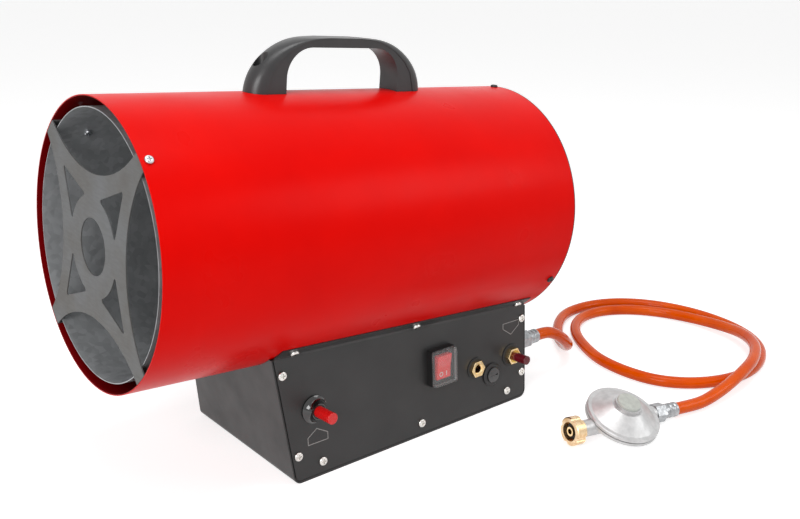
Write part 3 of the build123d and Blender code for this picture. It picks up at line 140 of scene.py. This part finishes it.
def uneven_gloss(finish, low, high, size, stretch=(1, 1, 1)):
    """Roughness that wanders between two values, in patches about size metres across."""
    tree = finish.node_tree
    handled = add_node(tree, "ShaderNodeMapRange", {"From Min": 0.3, "From Max": 0.7, "To Min": low,
                                                    "To Max": high},
                       {"Value": patches(tree, size, stretch, 3.0)})
    tree.links.new(handled.outputs["Result"], tree.nodes["Principled BSDF"].inputs["Roughness"])


def relief(finish, size, depth, stretch=(1, 1, 1), detail=2.0):
    """Bumps about size metres across and depth metres high, on top of any that are there."""
    tree = finish.node_tree
    shell = tree.nodes["Principled BSDF"]
    bump = add_node(tree, "ShaderNodeBump", {"Strength": 1.0, "Distance": depth},
                    {"Height": patches(tree, size, stretch, detail)})
    if shell.inputs["Normal"].links:
        tree.links.new(shell.inputs["Normal"].links[0].from_socket, bump.inputs["Normal"])
    tree.links.new(bump.outputs["Normal"], shell.inputs["Normal"])


# Vulcanised rubber: a deep orange with a wet-looking skin, chalked a little where it was handled,
# over a faint ripple from the braid below. The ripple's 4 mm is the braid's real pitch.
hose_rubber = new_finish("vulcanised orange rubber", "EA5800", Roughness=0.1, IOR=1.5,
                         Specular_IOR_Level=0.14)
two_tones(hose_rubber, "F05E00", "E24E00", 0.045)
uneven_gloss(hose_rubber, 0.08, 0.18, 0.03)
relief(hose_rubber, 0.004, 0.00005)
hose_curve = bpy.data.curves.new("gas_hose_cover", "CURVE")
hose_curve.dimensions = "3D"
hose_curve.bevel_depth = hose_diameter / 2
hose_curve.bevel_resolution = 10
hose_curve.resolution_u = 16
hose_curve.use_fill_caps = True
hose_spline = hose_curve.splines.new("NURBS")
hose_spline.points.add(len(hose_route) - 1)
for point, place in zip(hose_spline.points, hose_route):
    point.co = (*place, 1.0)
hose_spline.order_u = 3
hose_spline.use_endpoint_u = True
hose = bpy.data.objects.new("gas_hose_cover", hose_curve)
bpy.context.collection.objects.link(hose)
hose_curve.materials.append(hose_rubber)
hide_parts("gas_hose")
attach(hose, "heater")

# ------------------------------------------------------------------ outer casing
# The barrel: 1.2 mm sheet steel, rolled and seam-welded underneath, then dipped and stoved in red
# enamel. It hangs between the base's two hugging strips.


def dress(finish, *names):
    """Gives CAD nodes a finish in place of their own."""
    for name in names:
        mesh = cad[name].data
        mesh.materials.clear()
        mesh.materials.append(finish)


# Stoved enamel: a saturated red with a soft gloss and the long ripple of a sprayed coat. The real
# orange peel is about 1.5 mm; it is drawn at 5 mm so that it still shows.
red_enamel = new_finish("stoved red enamel", "EC0400", Roughness=0.3, IOR=1.45, Specular_IOR_Level=0.08)
two_tones(red_enamel, "F00600", "E60300", 0.16)
uneven_gloss(red_enamel, 0.26, 0.36, 0.06)
relief(red_enamel, 0.005, 0.000012)
# Inside the barrel the red is painted darker, as painted shade for the shadowed gap between the casing and
# the tube. The distance from the barrel's axis, which tips 3.9 degrees, tells the outside from the inside.
barrel_tilt = math.radians(3.9)
barrel_axis_up = 0.232
barrel_outside_r = 0.1325
tree = red_enamel.node_tree
shell = tree.nodes["Principled BSDF"]
place = add_node(tree, "ShaderNodeTexCoord")
on_axis = add_node(tree, "ShaderNodeMapping", {"Rotation": (0, -barrel_tilt, 0),
                                               "Location": (0, 0, -barrel_axis_up * math.cos(barrel_tilt))},
                   {"Vector": place.outputs["Object"]})
across = add_node(tree, "ShaderNodeVectorMath", {"operation": "MULTIPLY", 1: (0, 1, 1)},
                  {0: on_axis.outputs["Vector"]})
from_axis = add_node(tree, "ShaderNodeVectorMath", {"operation": "LENGTH"}, {0: across.outputs["Vector"]})
outside = add_node(tree, "ShaderNodeMapRange", {"From Min": barrel_outside_r - 0.001,
                                                "From Max": barrel_outside_r - 0.0004},
                   {"Value": from_axis.outputs["Value"]})
# The dark red 7A0408 on the inner wall is painted shade for the gap between the casing and the tube.
coat = add_node(tree, "ShaderNodeMix", {"data_type": "RGBA", 6: linear("7A0408")},
                {0: outside.outputs["Result"], 7: shell.inputs["Base Color"].links[0].from_socket})
tree.links.new(coat.outputs[2], shell.inputs["Base Color"])
dress(red_enamel, "outer_casing")

# ------------------------------------------------------------------ combustion tube and its spacers
# The inner tube that the flame burns in: galvanised sheet, rolled and lapped. Eight Z-shaped
# strips, folded from the same sheet and screwed through the tube, hold it off the casing.
# Hot-dip galvanising: a grey metal with a spangle of 6 mm crystals, each with its own tone.
galvanised = new_finish("hot dip galvanised sheet", "A9ABAC", Metallic=0.6, Roughness=0.5)
spangle_size = 0.006
tree = galvanised.node_tree
place = add_node(tree, "ShaderNodeTexCoord")
crystals = add_node(tree, "ShaderNodeTexVoronoi", {"Scale": 1 / spangle_size, "Randomness": 1.0},
                    {"Vector": place.outputs["Object"]})
one_tone = add_node(tree, "ShaderNodeSeparateColor", {}, {"Color": crystals.outputs["Color"]})
tone = add_node(tree, "ShaderNodeMix", {"data_type": "RGBA", 6: linear("A2A4A6"), 7: linear("B6B8BA")},
                {0: one_tone.outputs["Red"]})
tree.links.new(tone.outputs[2], tree.nodes["Principled BSDF"].inputs["Base Color"])
sheen = add_node(tree, "ShaderNodeMapRange", {"To Min": 0.46, "To Max": 0.58},
                 {"Value": one_tone.outputs["Green"]})
tree.links.new(sheen.outputs["Result"], tree.nodes["Principled BSDF"].inputs["Roughness"])
dress(galvanised, "combustion_tube", "tube_spacers", "burner_plate")

# Zinc plated and passivated screws: bright, with a cool tint and fine scratches from the driver.
zinc_plate = new_finish("zinc plated steel", "C9CBCE", Metallic=1.0, Roughness=0.26)
two_tones(zinc_plate, "D2D4D6", "B4B6BA", 0.004)
uneven_gloss(zinc_plate, 0.2, 0.36, 0.003)
relief(zinc_plate, 0.0012, 0.00001)
dress(zinc_plate, "tube_screws", "grille_screws", "motor_bolts", "handle_screws")

# ------------------------------------------------------------------ star grille
# A four-armed star, blanked from 1.2 mm aluminised steel, with its tips folded back along the
# casing. It keeps hands out of the outlet, and its two upper tabs are screwed through the casing.
# Aluminised steel: dull grey with the mill's fine grain, and a faint straw tint from the heat.
aluminised = new_finish("aluminised steel", "6C6C6C", Metallic=0.3, Roughness=0.62, Specular_IOR_Level=0.3)
two_tones(aluminised, "6F7071", "656360", 0.05)
uneven_gloss(aluminised, 0.52, 0.66, 0.012, (1, 1, 6))
relief(aluminised, 0.002, 0.000012, (1, 1, 8))
dress(aluminised, "star_grille")

# ------------------------------------------------------------------ burner
# A dished cup of plain steel, drilled for air, with a brass jet in its middle. The spark electrode
# in its white sleeve and the flame probe stand in it, and it is fixed on the burner plate.
# Heat-stained steel: brown and blue-grey oxide in patches of some 15 mm.
scaled_steel = new_finish("heat stained steel", "6A625A", Metallic=1.0, Roughness=0.5)
two_tones(scaled_steel, "746A60", "4C4A4C", 0.015, edge=0.1)
uneven_gloss(scaled_steel, 0.4, 0.62, 0.008)
relief(scaled_steel, 0.0015, 0.00002)
dress(scaled_steel, "burner_cup", "burner_probes")

# Glazed alumina: warm white, glossy, with a few iron specks.
glazed_alumina = new_finish("glazed alumina", "ECE8DC", Roughness=0.15, IOR=1.7)
two_tones(glazed_alumina, "F0ECE2", "DDD6C6", 0.003, edge=0.05)
relief(glazed_alumina, 0.002, 0.00001)
dress(glazed_alumina, "electrode_ceramic")

# Turned brass: yellow with tool marks round each piece, and brown tarnish in patches.
brass = new_finish("turned brass", "D3AE5A", Metallic=1.0, Roughness=0.24)
two_tones(brass, "DDB964", "C29A48", 0.005)
uneven_gloss(brass, 0.16, 0.32, 0.004)
relief(brass, 0.0009, 0.000008)
dress(brass, "gas_nozzle", "motor_bushes", "lock_nuts", "gas_valve_body")

# ------------------------------------------------------------------ rear guard
# The air inlet's cover: a disc punched with five rings of slots and flanged to fit the casing,
# powder coated black, screwed through the casing at three places. The motor bolts to its middle.
# Black powder coat: satin, with the close pimple of the powder, drawn at 1.5 mm to show.
black_powder = new_finish("black powder coat", "171717", Roughness=0.42, IOR=1.5)
two_tones(black_powder, "191919", "121212", 0.04)
uneven_gloss(black_powder, 0.36, 0.5, 0.02)
relief(black_powder, 0.0015, 0.00003)
dress(black_powder, "rear_guard", "guard_screws")

# ------------------------------------------------------------------ fan motor
# A shaded small motor: a drawn steel can with an end cap, two sintered bushes, a laminated stator
# with four varnished coils, and a rotor on a ground shaft. Four screws hold it to the guard.
# Drawn and zinc plated steel: even grey, with faint lines along the draw.
drawn_steel = new_finish("drawn steel", "9A9C9F", Metallic=1.0, Roughness=0.36)
two_tones(drawn_steel, "A4A6A9", "8B8D90", 0.02)
uneven_gloss(drawn_steel, 0.28, 0.44, 0.006, (0.2, 1, 1))
relief(drawn_steel, 0.001, 0.00001, (0.1, 1, 1))
dress(drawn_steel, "motor_can", "motor_end_cap", "motor_rotor", "fan_clip", "fan")

# Stacked laminations: dark sheets 0.5 mm thick across the shaft, drawn at 1 mm to show.
laminations = new_finish("stacked laminations", "5A5A5C", Metallic=1.0, Roughness=0.45)
two_tones(laminations, "666668", "4A4A4C", 0.001, (1, 0.02, 0.02), edge=0.08)
relief(laminations, 0.001, 0.00006, (1, 0.02, 0.02))
dress(laminations, "motor_stator")

# Enamelled copper wire: reddish brown strands of 0.6 mm laid side by side along the slots.
wire_coil = new_finish("enamelled copper wire", "9A4A24", Metallic=0.8, Roughness=0.3)
two_tones(wire_coil, "A8542A", "7E3A1C", 0.0012, (0.05, 1, 1))
relief(wire_coil, 0.0012, 0.00012, (0.05, 1, 1))
dress(wire_coil, "motor_windings")

# ------------------------------------------------------------------ base: tray and control panel
# A folded box of 1.2 mm sheet under the barrel. The front wall is a separate panel that carries the
# controls, and both long walls end in a strip that hugs the barrel. Screws go in through both strips
# and round the panel's edge.
# Dark grey powder coat: semi-matt, with a fine pimple drawn at 1.5 mm, scuffed a little duller.
grey_powder = new_finish("dark grey powder coat", "2B2B2B", Roughness=0.42, IOR=1.5, Specular_IOR_Level=0.4)
two_tones(grey_powder, "2E2E2E", "272727", 0.07)
uneven_gloss(grey_powder, 0.36, 0.48, 0.03)
relief(grey_powder, 0.0015, 0.00002)
dress(grey_powder, "base_tray", "control_panel")

# Nickel plated pan heads: brighter than the zinc ones, turned smooth, with a cross recess.
nickel_plate = new_finish("nickel plated steel", "D6D4D0", Metallic=1.0, Roughness=0.2)
two_tones(nickel_plate, "DEDCD8", "C4C2BE", 0.004)
uneven_gloss(nickel_plate, 0.14, 0.28, 0.003)
relief(nickel_plate, 0.0014, 0.000008)
dress(nickel_plate, "flange_screws", "panel_screws")

# ------------------------------------------------------------------ igniter
# A piezo igniter held by a flared nut: press the red button and it strikes. The nut is polished
# black ABS, the body behind the panel is plain black, and the button is moulded in red.
# Polished ABS: a deep gloss that shows the lamps, with a slight sink from the mould.
polished_abs = new_finish("polished black ABS", "0B0B0C", Roughness=0.08, IOR=1.53, Coat_Weight=0.6)
two_tones(polished_abs, "0C0C0D", "080808", 0.01)
uneven_gloss(polished_abs, 0.05, 0.12, 0.008)
relief(polished_abs, 0.008, 0.00002)
dress(polished_abs, "igniter_collar", "fuse_cap")

# Spark-eroded ABS: black, matt, with a fine grain drawn at 1 mm to show.
eroded_abs = new_finish("spark eroded black ABS", "161616", Roughness=0.5, IOR=1.52)
two_tones(eroded_abs, "191919", "121213", 0.02)
uneven_gloss(eroded_abs, 0.42, 0.58, 0.01)
relief(eroded_abs, 0.001, 0.00004)
dress(eroded_abs, "igniter_body", "switch_frame", "fuse_holder", "cable_gland")

# Moulded red ABS: bright and smooth, slightly see-through at thin edges.
red_abs = new_finish("moulded red ABS", "DE1010", Roughness=0.26, IOR=1.52, Subsurface_Weight=0.05,
                     Subsurface_Scale=0.002)
two_tones(red_abs, "E21212", "D40C0C", 0.012)
uneven_gloss(red_abs, 0.2, 0.32, 0.006)
relief(red_abs, 0.003, 0.00002)
dress(red_abs, "ignition_button")

# ------------------------------------------------------------------ springs
# Coil springs of 1.2 mm music wire under the two push buttons, and one of 2 mm wire on a pressed
# plate in the regulator. Each stands in its bore and is held by the part that it pushes.
panel_lean = math.radians(4.2)
panel_face = Matrix(((1, 0, 0, 0), (0, math.sin(panel_lean), -math.cos(panel_lean), -0.0938),
                     (0, math.cos(panel_lean), math.sin(panel_lean), 0), (0, 0, 0, 1)))


def on_panel(x, height):
    """The frame of a control: x along the panel, height over the floor, z straight out."""
    return panel_face @ Matrix.Translation((x, height / math.cos(panel_lean), 0))


def add_piece(name, shape, finish, body, slot_name, *replaced, sharp=35):
    """Makes an object from a bmesh: smooth but for edges over sharp degrees, riding on a body."""
    mesh = bpy.data.meshes.new(name)
    bmesh.ops.recalc_face_normals(shape, faces=shape.faces)
    shape.to_mesh(mesh)
    shape.free()
    mesh.shade_smooth()
    mesh.set_sharp_from_angle(angle=math.radians(sharp))
    mesh.materials.append(finish)
    piece = bpy.data.objects.new(name, mesh)
    bpy.context.collection.objects.link(piece)
    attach(piece, body)
    if replaced:
        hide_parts(*replaced)
    return piece


def coil_spring(shape, place, mean_r, wire_r, low, high, turns):
    """A closed wire helix about z, from low to high, added to a bmesh at a place."""
    steps = 24 * turns
    ring = bmesh.ops.create_circle(shape, radius=wire_r, segments=10)["verts"]
    stand = Matrix.Translation((mean_r, 0, low + wire_r)) @ Matrix.Rotation(math.pi / 2, 4, "X")
    bmesh.ops.transform(shape, matrix=stand, verts=ring)
    edges = list({edge for vert in ring for edge in vert.link_edges})
    rise = (high - low - 2 * wire_r) / steps
    before = set(shape.verts) - set(ring)
    bmesh.ops.spin(shape, geom=edges, axis=(0, 0, 1), cent=(0, 0, 0), dvec=(0, 0, rise),
                   angle=2 * math.pi * turns, steps=steps)
    made = [vert for vert in shape.verts if vert not in before]
    ends = [edge for vert in made for edge in vert.link_edges if edge.is_boundary]
    bmesh.ops.holes_fill(shape, edges=list(set(ends)), sides=0)
    bmesh.ops.transform(shape, matrix=place, verts=made)


# Music wire: grey, bright, with the draw die's fine lines.
music_wire = new_finish("music wire", "8C8E90", Metallic=1.0, Roughness=0.28)
two_tones(music_wire, "96989A", "7E8082", 0.003)
uneven_gloss(music_wire, 0.2, 0.36, 0.002)
button_coil_r = 0.0038
button_wire_r = 0.0006
igniter_x = -0.0727
igniter_height = 0.0727
igniter_bore_floor = -0.030
igniter_button_end = -0.0194
igniter_turns = 5
valve_x = 0.201
valve_height = 0.0566
valve_bore_floor = -0.023
valve_button_end = -0.0184
valve_turns = 3
springs = bmesh.new()
coil_spring(springs, on_panel(igniter_x, igniter_height), button_coil_r, button_wire_r,
            igniter_bore_floor, igniter_button_end, igniter_turns)
coil_spring(springs, on_panel(valve_x, valve_height), button_coil_r, button_wire_r,
            valve_bore_floor, valve_button_end, valve_turns)
add_piece("button_coils", springs, music_wire, "heater", "steel", "button_springs")

# ------------------------------------------------------------------ rocker switch
# A snap-in rocker switch in a black frame, under a clear splash cover. The red rocker turns on a pin
# and has the usual ring and bar for off and on, printed white side by side on its lower half.
# Red polycarbonate, moulded thin over its lamp: a bright red that lets some light through.
lens_red = new_finish("translucent red polycarbonate", "F01420", Roughness=0.22, IOR=1.58,
                      Subsurface_Weight=0.3, Subsurface_Scale=0.004)
two_tones(lens_red, "F41824", "E60E18", 0.008)
uneven_gloss(lens_red, 0.16, 0.28, 0.005)
relief(lens_red, 0.003, 0.00001)
dress(lens_red, "switch_rocker")
rocker_x = 0.0909
rocker_height = 0.0745
rocker_mid = 0.0084
rocker_half_length = 0.0135
rocker_half_rise = 0.0008
mark_down = -0.008
rocker_place = on_panel(rocker_x, rocker_height)
rocker_slope = math.atan2(rocker_half_rise, rocker_half_length)
mark_out = rocker_mid + mark_down * math.tan(rocker_slope)
mark_place = rocker_place @ Matrix.Translation((0, mark_down, mark_out))
mark_place = mark_place @ Matrix.Rotation(rocker_slope, 4, "X")
ring_outer = 0.0026
ring_inner = 0.0018
ring_x = -0.0038
bar_width = 0.0009
bar_height = 0.0052
bar_x = 0.0036
ink_depth = 0.0001
marks = bmesh.new()
outer_edge = bmesh.ops.create_circle(marks, radius=ring_outer, segments=40)["verts"]
inner_edge = bmesh.ops.create_circle(marks, radius=ring_inner, segments=40)["verts"]
bmesh.ops.bridge_loops(marks, edges=marks.edges[:])
bmesh.ops.translate(marks, vec=(ring_x, 0, 0), verts=outer_edge + inner_edge)
bar = bmesh.ops.create_grid(marks, x_segments=1, y_segments=1, size=0.5)["verts"]
bmesh.ops.scale(marks, vec=(bar_width, bar_height, 1), verts=bar)
bmesh.ops.translate(marks, vec=(bar_x, 0, 0), verts=bar)
printed = bmesh.ops.extrude_face_region(marks, geom=marks.faces[:], use_keep_orig=True)["geom"]
lifted = [part for part in printed if isinstance(part, bmesh.types.BMVert)]
bmesh.ops.translate(marks, vec=(0, 0, ink_depth), verts=lifted)
bmesh.ops.transform(marks, matrix=mark_place, verts=marks.verts[:])
# Pad-printed white ink: opaque, slightly raised, a little uneven at this size.
white_ink = new_finish("pad printed white ink", "EDE9E6", Roughness=0.4)
two_tones(white_ink, "F2EEEA", "DDD6D2", 0.001)
relief(white_ink, 0.0006, 0.00001)
add_piece("rocker_marks", marks, white_ink, "rocker", "red_plastic")

# Clear polycarbonate: almost no colour, glossy, with hair scratches that soften its highlights.
clear_cover = new_finish("clear polycarbonate", "F6F8F8", Roughness=0.06, Alpha=0.09, IOR=1.58)
uneven_gloss(clear_cover, 0.03, 0.12, 0.004, (1, 6, 1))
relief(clear_cover, 0.006, 0.00001)
dress(clear_cover, "switch_hood")

# ------------------------------------------------------------------ brass bushing
# A turned bushing where a thermostat lead can enter, closed when not used: a brass hexagon with a
# countersunk bore over a black fibre washer, held by a lock nut behind the panel.
bright_brass = new_finish("machined bright brass", "EED2A0", Metallic=1.0, Roughness=0.18)
two_tones(bright_brass, "F4DCB0", "E0BC80", 0.004)
uneven_gloss(bright_brass, 0.14, 0.26, 0.003)
relief(bright_brass, 0.0008, 0.000008)
dress(bright_brass, "lead_bushing", "valve_nut", "inlet_nipple")

# Black vulcanised fibre and moulded nitrile: dull, with a fine paper-like grain.
nitrile = new_finish("moulded nitrile rubber", "1A1A1A", Roughness=0.6, IOR=1.5)
two_tones(nitrile, "1E1E1E", "141414", 0.006)
relief(nitrile, 0.0008, 0.00003)
dress(nitrile, "panel_washers", "regulator_seals", "internal_leads")

# ------------------------------------------------------------------ fuse and gas valve
# A bayonet fuse holder whose slotted cap turns out with a coin, and a glass fuse link behind it. The
# gas valve beside it is a brass block behind the panel with a dark red push button in its nut.
# Fuse glass with a silvered cap at each end: clear, but seen as pale grey.
fuse_glass = new_finish("fuse glass", "D8DEE0", Roughness=0.05, Transmission_Weight=0.9, IOR=1.47)
two_tones(fuse_glass, "E2E8EA", "C6CCCE", 0.004)
dress(fuse_glass, "fuse_link")

# Dark crimson phenolic: a deep, hard gloss.
crimson = new_finish("dark crimson phenolic", "6E0A1C", Roughness=0.16, IOR=1.6)
two_tones(crimson, "760C20", "5E0816", 0.008)
uneven_gloss(crimson, 0.12, 0.22, 0.005)
relief(crimson, 0.003, 0.00001)
dress(crimson, "gas_valve_button")

# ------------------------------------------------------------------ inlet fitting, ferrules, gland
# A plated steel hose fitting screwed through the rear wall into the valve, with a crimped sleeve on
# the hose. The regulator has the same sleeve and nut at its end. A black nylon gland takes the
# mains cord, and its wires end in a white terminal block on the base's floor.
# Zinc plated machining steel: mid grey, satin, with turning lines of 1 mm drawn across.
turned_steel = new_finish("turned and plated steel", "A2A4A6", Metallic=1.0, Roughness=0.34)
two_tones(turned_steel, "ACAEB0", "8E9092", 0.005)
uneven_gloss(turned_steel, 0.26, 0.44, 0.003)
relief(turned_steel, 0.0012, 0.000015, (1, 0.2, 0.2))
dress(turned_steel, "gas_inlet_fitting", "heater_hose_ferrule", "outlet_nut", "regulator_hose_ferrule")

# White polyamide: slightly waxy, dusty in its holes.
white_nylon = new_finish("white polyamide", "E2E0D8", Roughness=0.45, IOR=1.53, Subsurface_Weight=0.1,
                         Subsurface_Scale=0.003)
two_tones(white_nylon, "E6E4DC", "D2CEC2", 0.012)
relief(white_nylon, 0.001, 0.00003)
dress(white_nylon, "terminal_block")

# Annealed copper pipe: pinkish brown, darker where it oxidised.
soft_copper = new_finish("annealed copper", "B87050", Metallic=1.0, Roughness=0.34)
two_tones(soft_copper, "C47C5A", "96563C", 0.02)
uneven_gloss(soft_copper, 0.26, 0.46, 0.01)
dress(soft_copper, "gas_pipe")

# ------------------------------------------------------------------ handle
# A carry handle in glass-filled polypropylene, moulded solid and round-ended, with a deep pocket at
# each end for the screw that goes through the casing.
# Glass-filled polypropylene: black, satin, with a leathery spark grain drawn at 1.2 mm.
filled_pp = new_finish("glass filled polypropylene", "2C2C2D", Roughness=0.34, IOR=1.49)
two_tones(filled_pp, "303031", "272728", 0.03)
uneven_gloss(filled_pp, 0.3, 0.42, 0.02)
relief(filled_pp, 0.0012, 0.00004)
dress(filled_pp, "handle")

# ------------------------------------------------------------------ outlines on the panel
# Two plain outlines are printed on the panel: a house shape by the igniter and a shield that points
# down by the valve. They are silk-screened in pale grey, 0.8 mm wide.
house = ((-0.0820, 0.0363), (-0.0575, 0.0363), (-0.0575, 0.0444), (-0.0706, 0.0520), (-0.0820, 0.0444))
shield = ((0.1883, 0.0900), (0.2013, 0.0810), (0.2143, 0.0900), (0.2143, 0.0967), (0.1883, 0.0967))
line_width = 0.0008
outlines = bmesh.new()
for corners in (house, shield):
    loop = [outlines.verts.new((x, height / math.cos(panel_lean), 0)) for x, height in corners]
    outlines.faces.new(loop)
outlines.normal_update()
inset_faces = outlines.faces[:]
bmesh.ops.inset_individual(outlines, faces=inset_faces, thickness=line_width, use_even_offset=True)
bmesh.ops.delete(outlines, geom=inset_faces, context="FACES_ONLY")
printed = bmesh.ops.extrude_face_region(outlines, geom=outlines.faces[:], use_keep_orig=True)["geom"]
lifted = [part for part in printed if isinstance(part, bmesh.types.BMVert)]
bmesh.ops.translate(outlines, vec=(0, 0, ink_depth), verts=lifted)
bmesh.ops.transform(outlines, matrix=panel_face, verts=outlines.verts[:])
# Screen-printed grey ink: matt and thin, the powder coat's pimple shows through it.
grey_ink = new_finish("screen printed grey ink", "A09E9C", Roughness=0.6)
two_tones(grey_ink, "A8A6A4", "8E8C8A", 0.002)
relief(grey_ink, 0.0015, 0.00002)
add_piece("panel_outlines", outlines, grey_ink, "heater", "dark_paint")

# ------------------------------------------------------------------ regulator
# A low-pressure gas regulator: a die-cast body and bonnet clamped over a diaphragm, a cap over its
# spring, and a brass hand nut that turns on the nozzle and seals against a bottle's valve.
# Die-cast zinc, tumbled: light silver, satin, with the faint orange peel of the die.
die_cast_zinc = new_finish("tumbled die cast zinc", "C8C8C8", Metallic=0.65, Roughness=0.42)
two_tones(die_cast_zinc, "CECECE", "BCBCBC", 0.01)
uneven_gloss(die_cast_zinc, 0.37, 0.48, 0.006)
relief(die_cast_zinc, 0.002, 0.00003)
dress(die_cast_zinc, "regulator_body", "regulator_bonnet")

# Grey polypropylene cap: pale and satin.
grey_cap = new_finish("grey polypropylene", "C4CAC2", Roughness=0.38, IOR=1.49)
two_tones(grey_cap, "CAD0C8", "BABFB8", 0.006)
relief(grey_cap, 0.0012, 0.00003)
dress(grey_cap, "bonnet_cap")

# Cast and turned brass, paler and more coppery than the controls' brass, worn bright at its lobes.
cast_brass = new_finish("cast brass hand nut", "E0C49C", Metallic=1.0, Roughness=0.3)
two_tones(cast_brass, "E8D0AC", "CCAA7E", 0.006)
uneven_gloss(cast_brass, 0.22, 0.4, 0.004)
relief(cast_brass, 0.0014, 0.00002)
dress(cast_brass, "bottle_nut")

# In the regulator's own frame x points back to the hose and z stands square on the diaphragm.
regulator_reach = 0.0805
regulator_roll = math.radians(20.0)
hose_end = Vector(hose_route[-1])
back_along = (Vector(hose_route[-2]) - hose_end).normalized()
level_side = Vector((0, 0, 1)).cross(back_along).normalized()
stand_up = back_along.cross(level_side)
middle = hose_end - back_along * regulator_reach
regulator_place = Matrix((back_along, level_side, stand_up)).transposed().to_4x4()
regulator_place = Matrix.Translation(middle) @ regulator_place @ Matrix.Rotation(regulator_roll, 4, "X")
plate_low = 0.0080
plate_high = 0.0095
plate_r = 0.014
spring_high = 0.0230
spring_r = 0.008
spring_wire_r = 0.001
spring_turns = 4
regulator_spring = bmesh.new()
disc = bmesh.ops.create_cone(regulator_spring, cap_ends=True, segments=48, radius1=plate_r, radius2=plate_r,
                             depth=plate_high - plate_low)["verts"]
bmesh.ops.translate(regulator_spring, vec=(0, 0, (plate_low + plate_high) / 2), verts=disc)
bmesh.ops.transform(regulator_spring, matrix=regulator_place, verts=disc)
coil_spring(regulator_spring, regulator_place, spring_r, spring_wire_r, plate_high, spring_high,
            spring_turns)
regulator_coil = add_piece("regulator_coil", regulator_spring, music_wire, "heater", "steel",
                           "regulator_spring")

# ------------------------------------------------------------------ floor and light
# A white paper sweep on the floor, lit by soft boxes overhead and at both sides. The paper and what
# lies beyond it are white where they are seen, directly, mirrored or through something clear.
floor_half = 20.0
floor_glow = 0.7
beyond_light = 0.3
beyond_seen = 1.0
lamps = (
    # name, place, aims at, width, height, watts
    ("top_box", (0.0, -0.3, 2.2), (0, 0, 0.2), 1.4, 1.0, 18),
    ("left_box", (-1.7, -1.0, 1.0), (0, 0, 0.2), 1.0, 1.0, 22),
    ("right_box", (1.5, -1.5, 1.2), (0.2, 0, 0.2), 0.8, 0.8, 6))


def seen_share(tree):
    """1 for a ray that the camera sends, or that gloss or glass sends on, and 0 for the light's own."""
    path = add_node(tree, "ShaderNodeLightPath")
    seen = add_node(tree, "ShaderNodeMath", {"operation": "MAXIMUM"},
                    {0: path.outputs["Is Camera Ray"], 1: path.outputs["Is Glossy Ray"]})
    seen = add_node(tree, "ShaderNodeMath", {"operation": "MAXIMUM"},
                    {0: seen.outputs[0], 1: path.outputs["Is Transmission Ray"]})
    return seen.outputs[0]


paper_white = new_finish("white paper sweep", "D6D6D6", Roughness=0.9, Specular_IOR_Level=0.1)
floor_tree = paper_white.node_tree
paper = floor_tree.nodes["Principled BSDF"]
paper.inputs["Emission Color"].default_value = (1, 1, 1, 1)
lift = add_node(floor_tree, "ShaderNodeMath", {"operation": "MULTIPLY", 1: floor_glow},
                {0: seen_share(floor_tree)})
floor_tree.links.new(lift.outputs[0], paper.inputs["Emission Strength"])
floor_mesh = bpy.data.meshes.new("floor")
floor_shape = bmesh.new()
bmesh.ops.create_grid(floor_shape, x_segments=1, y_segments=1, size=floor_half)
floor_shape.to_mesh(floor_mesh)
floor_shape.free()
floor = bpy.data.objects.new("floor", floor_mesh)
bpy.context.collection.objects.link(floor)
floor_mesh.materials.append(paper_white)

world = bpy.data.worlds.new("studio")
bpy.context.scene.world = world
world.use_nodes = True
world_tree = world.node_tree
back = world_tree.nodes["Background"]
back.inputs["Color"].default_value = (1, 1, 1, 1)
glow = add_node(world_tree, "ShaderNodeMapRange", {"To Min": beyond_light, "To Max": beyond_seen},
                {"Value": seen_share(world_tree)})
world_tree.links.new(glow.outputs["Result"], back.inputs["Strength"])

for name, place, target, width, height, watts in lamps:
    lamp = bpy.data.lights.new(name, "AREA")
    lamp.shape = "RECTANGLE"
    lamp.size = width
    lamp.size_y = height
    lamp.energy = watts
    box = bpy.data.objects.new(name, lamp)
    bpy.context.collection.objects.link(box)
    box.location = place
    box.rotation_euler = (Vector(target) - Vector(place)).to_track_quat("-Z", "Y").to_euler()
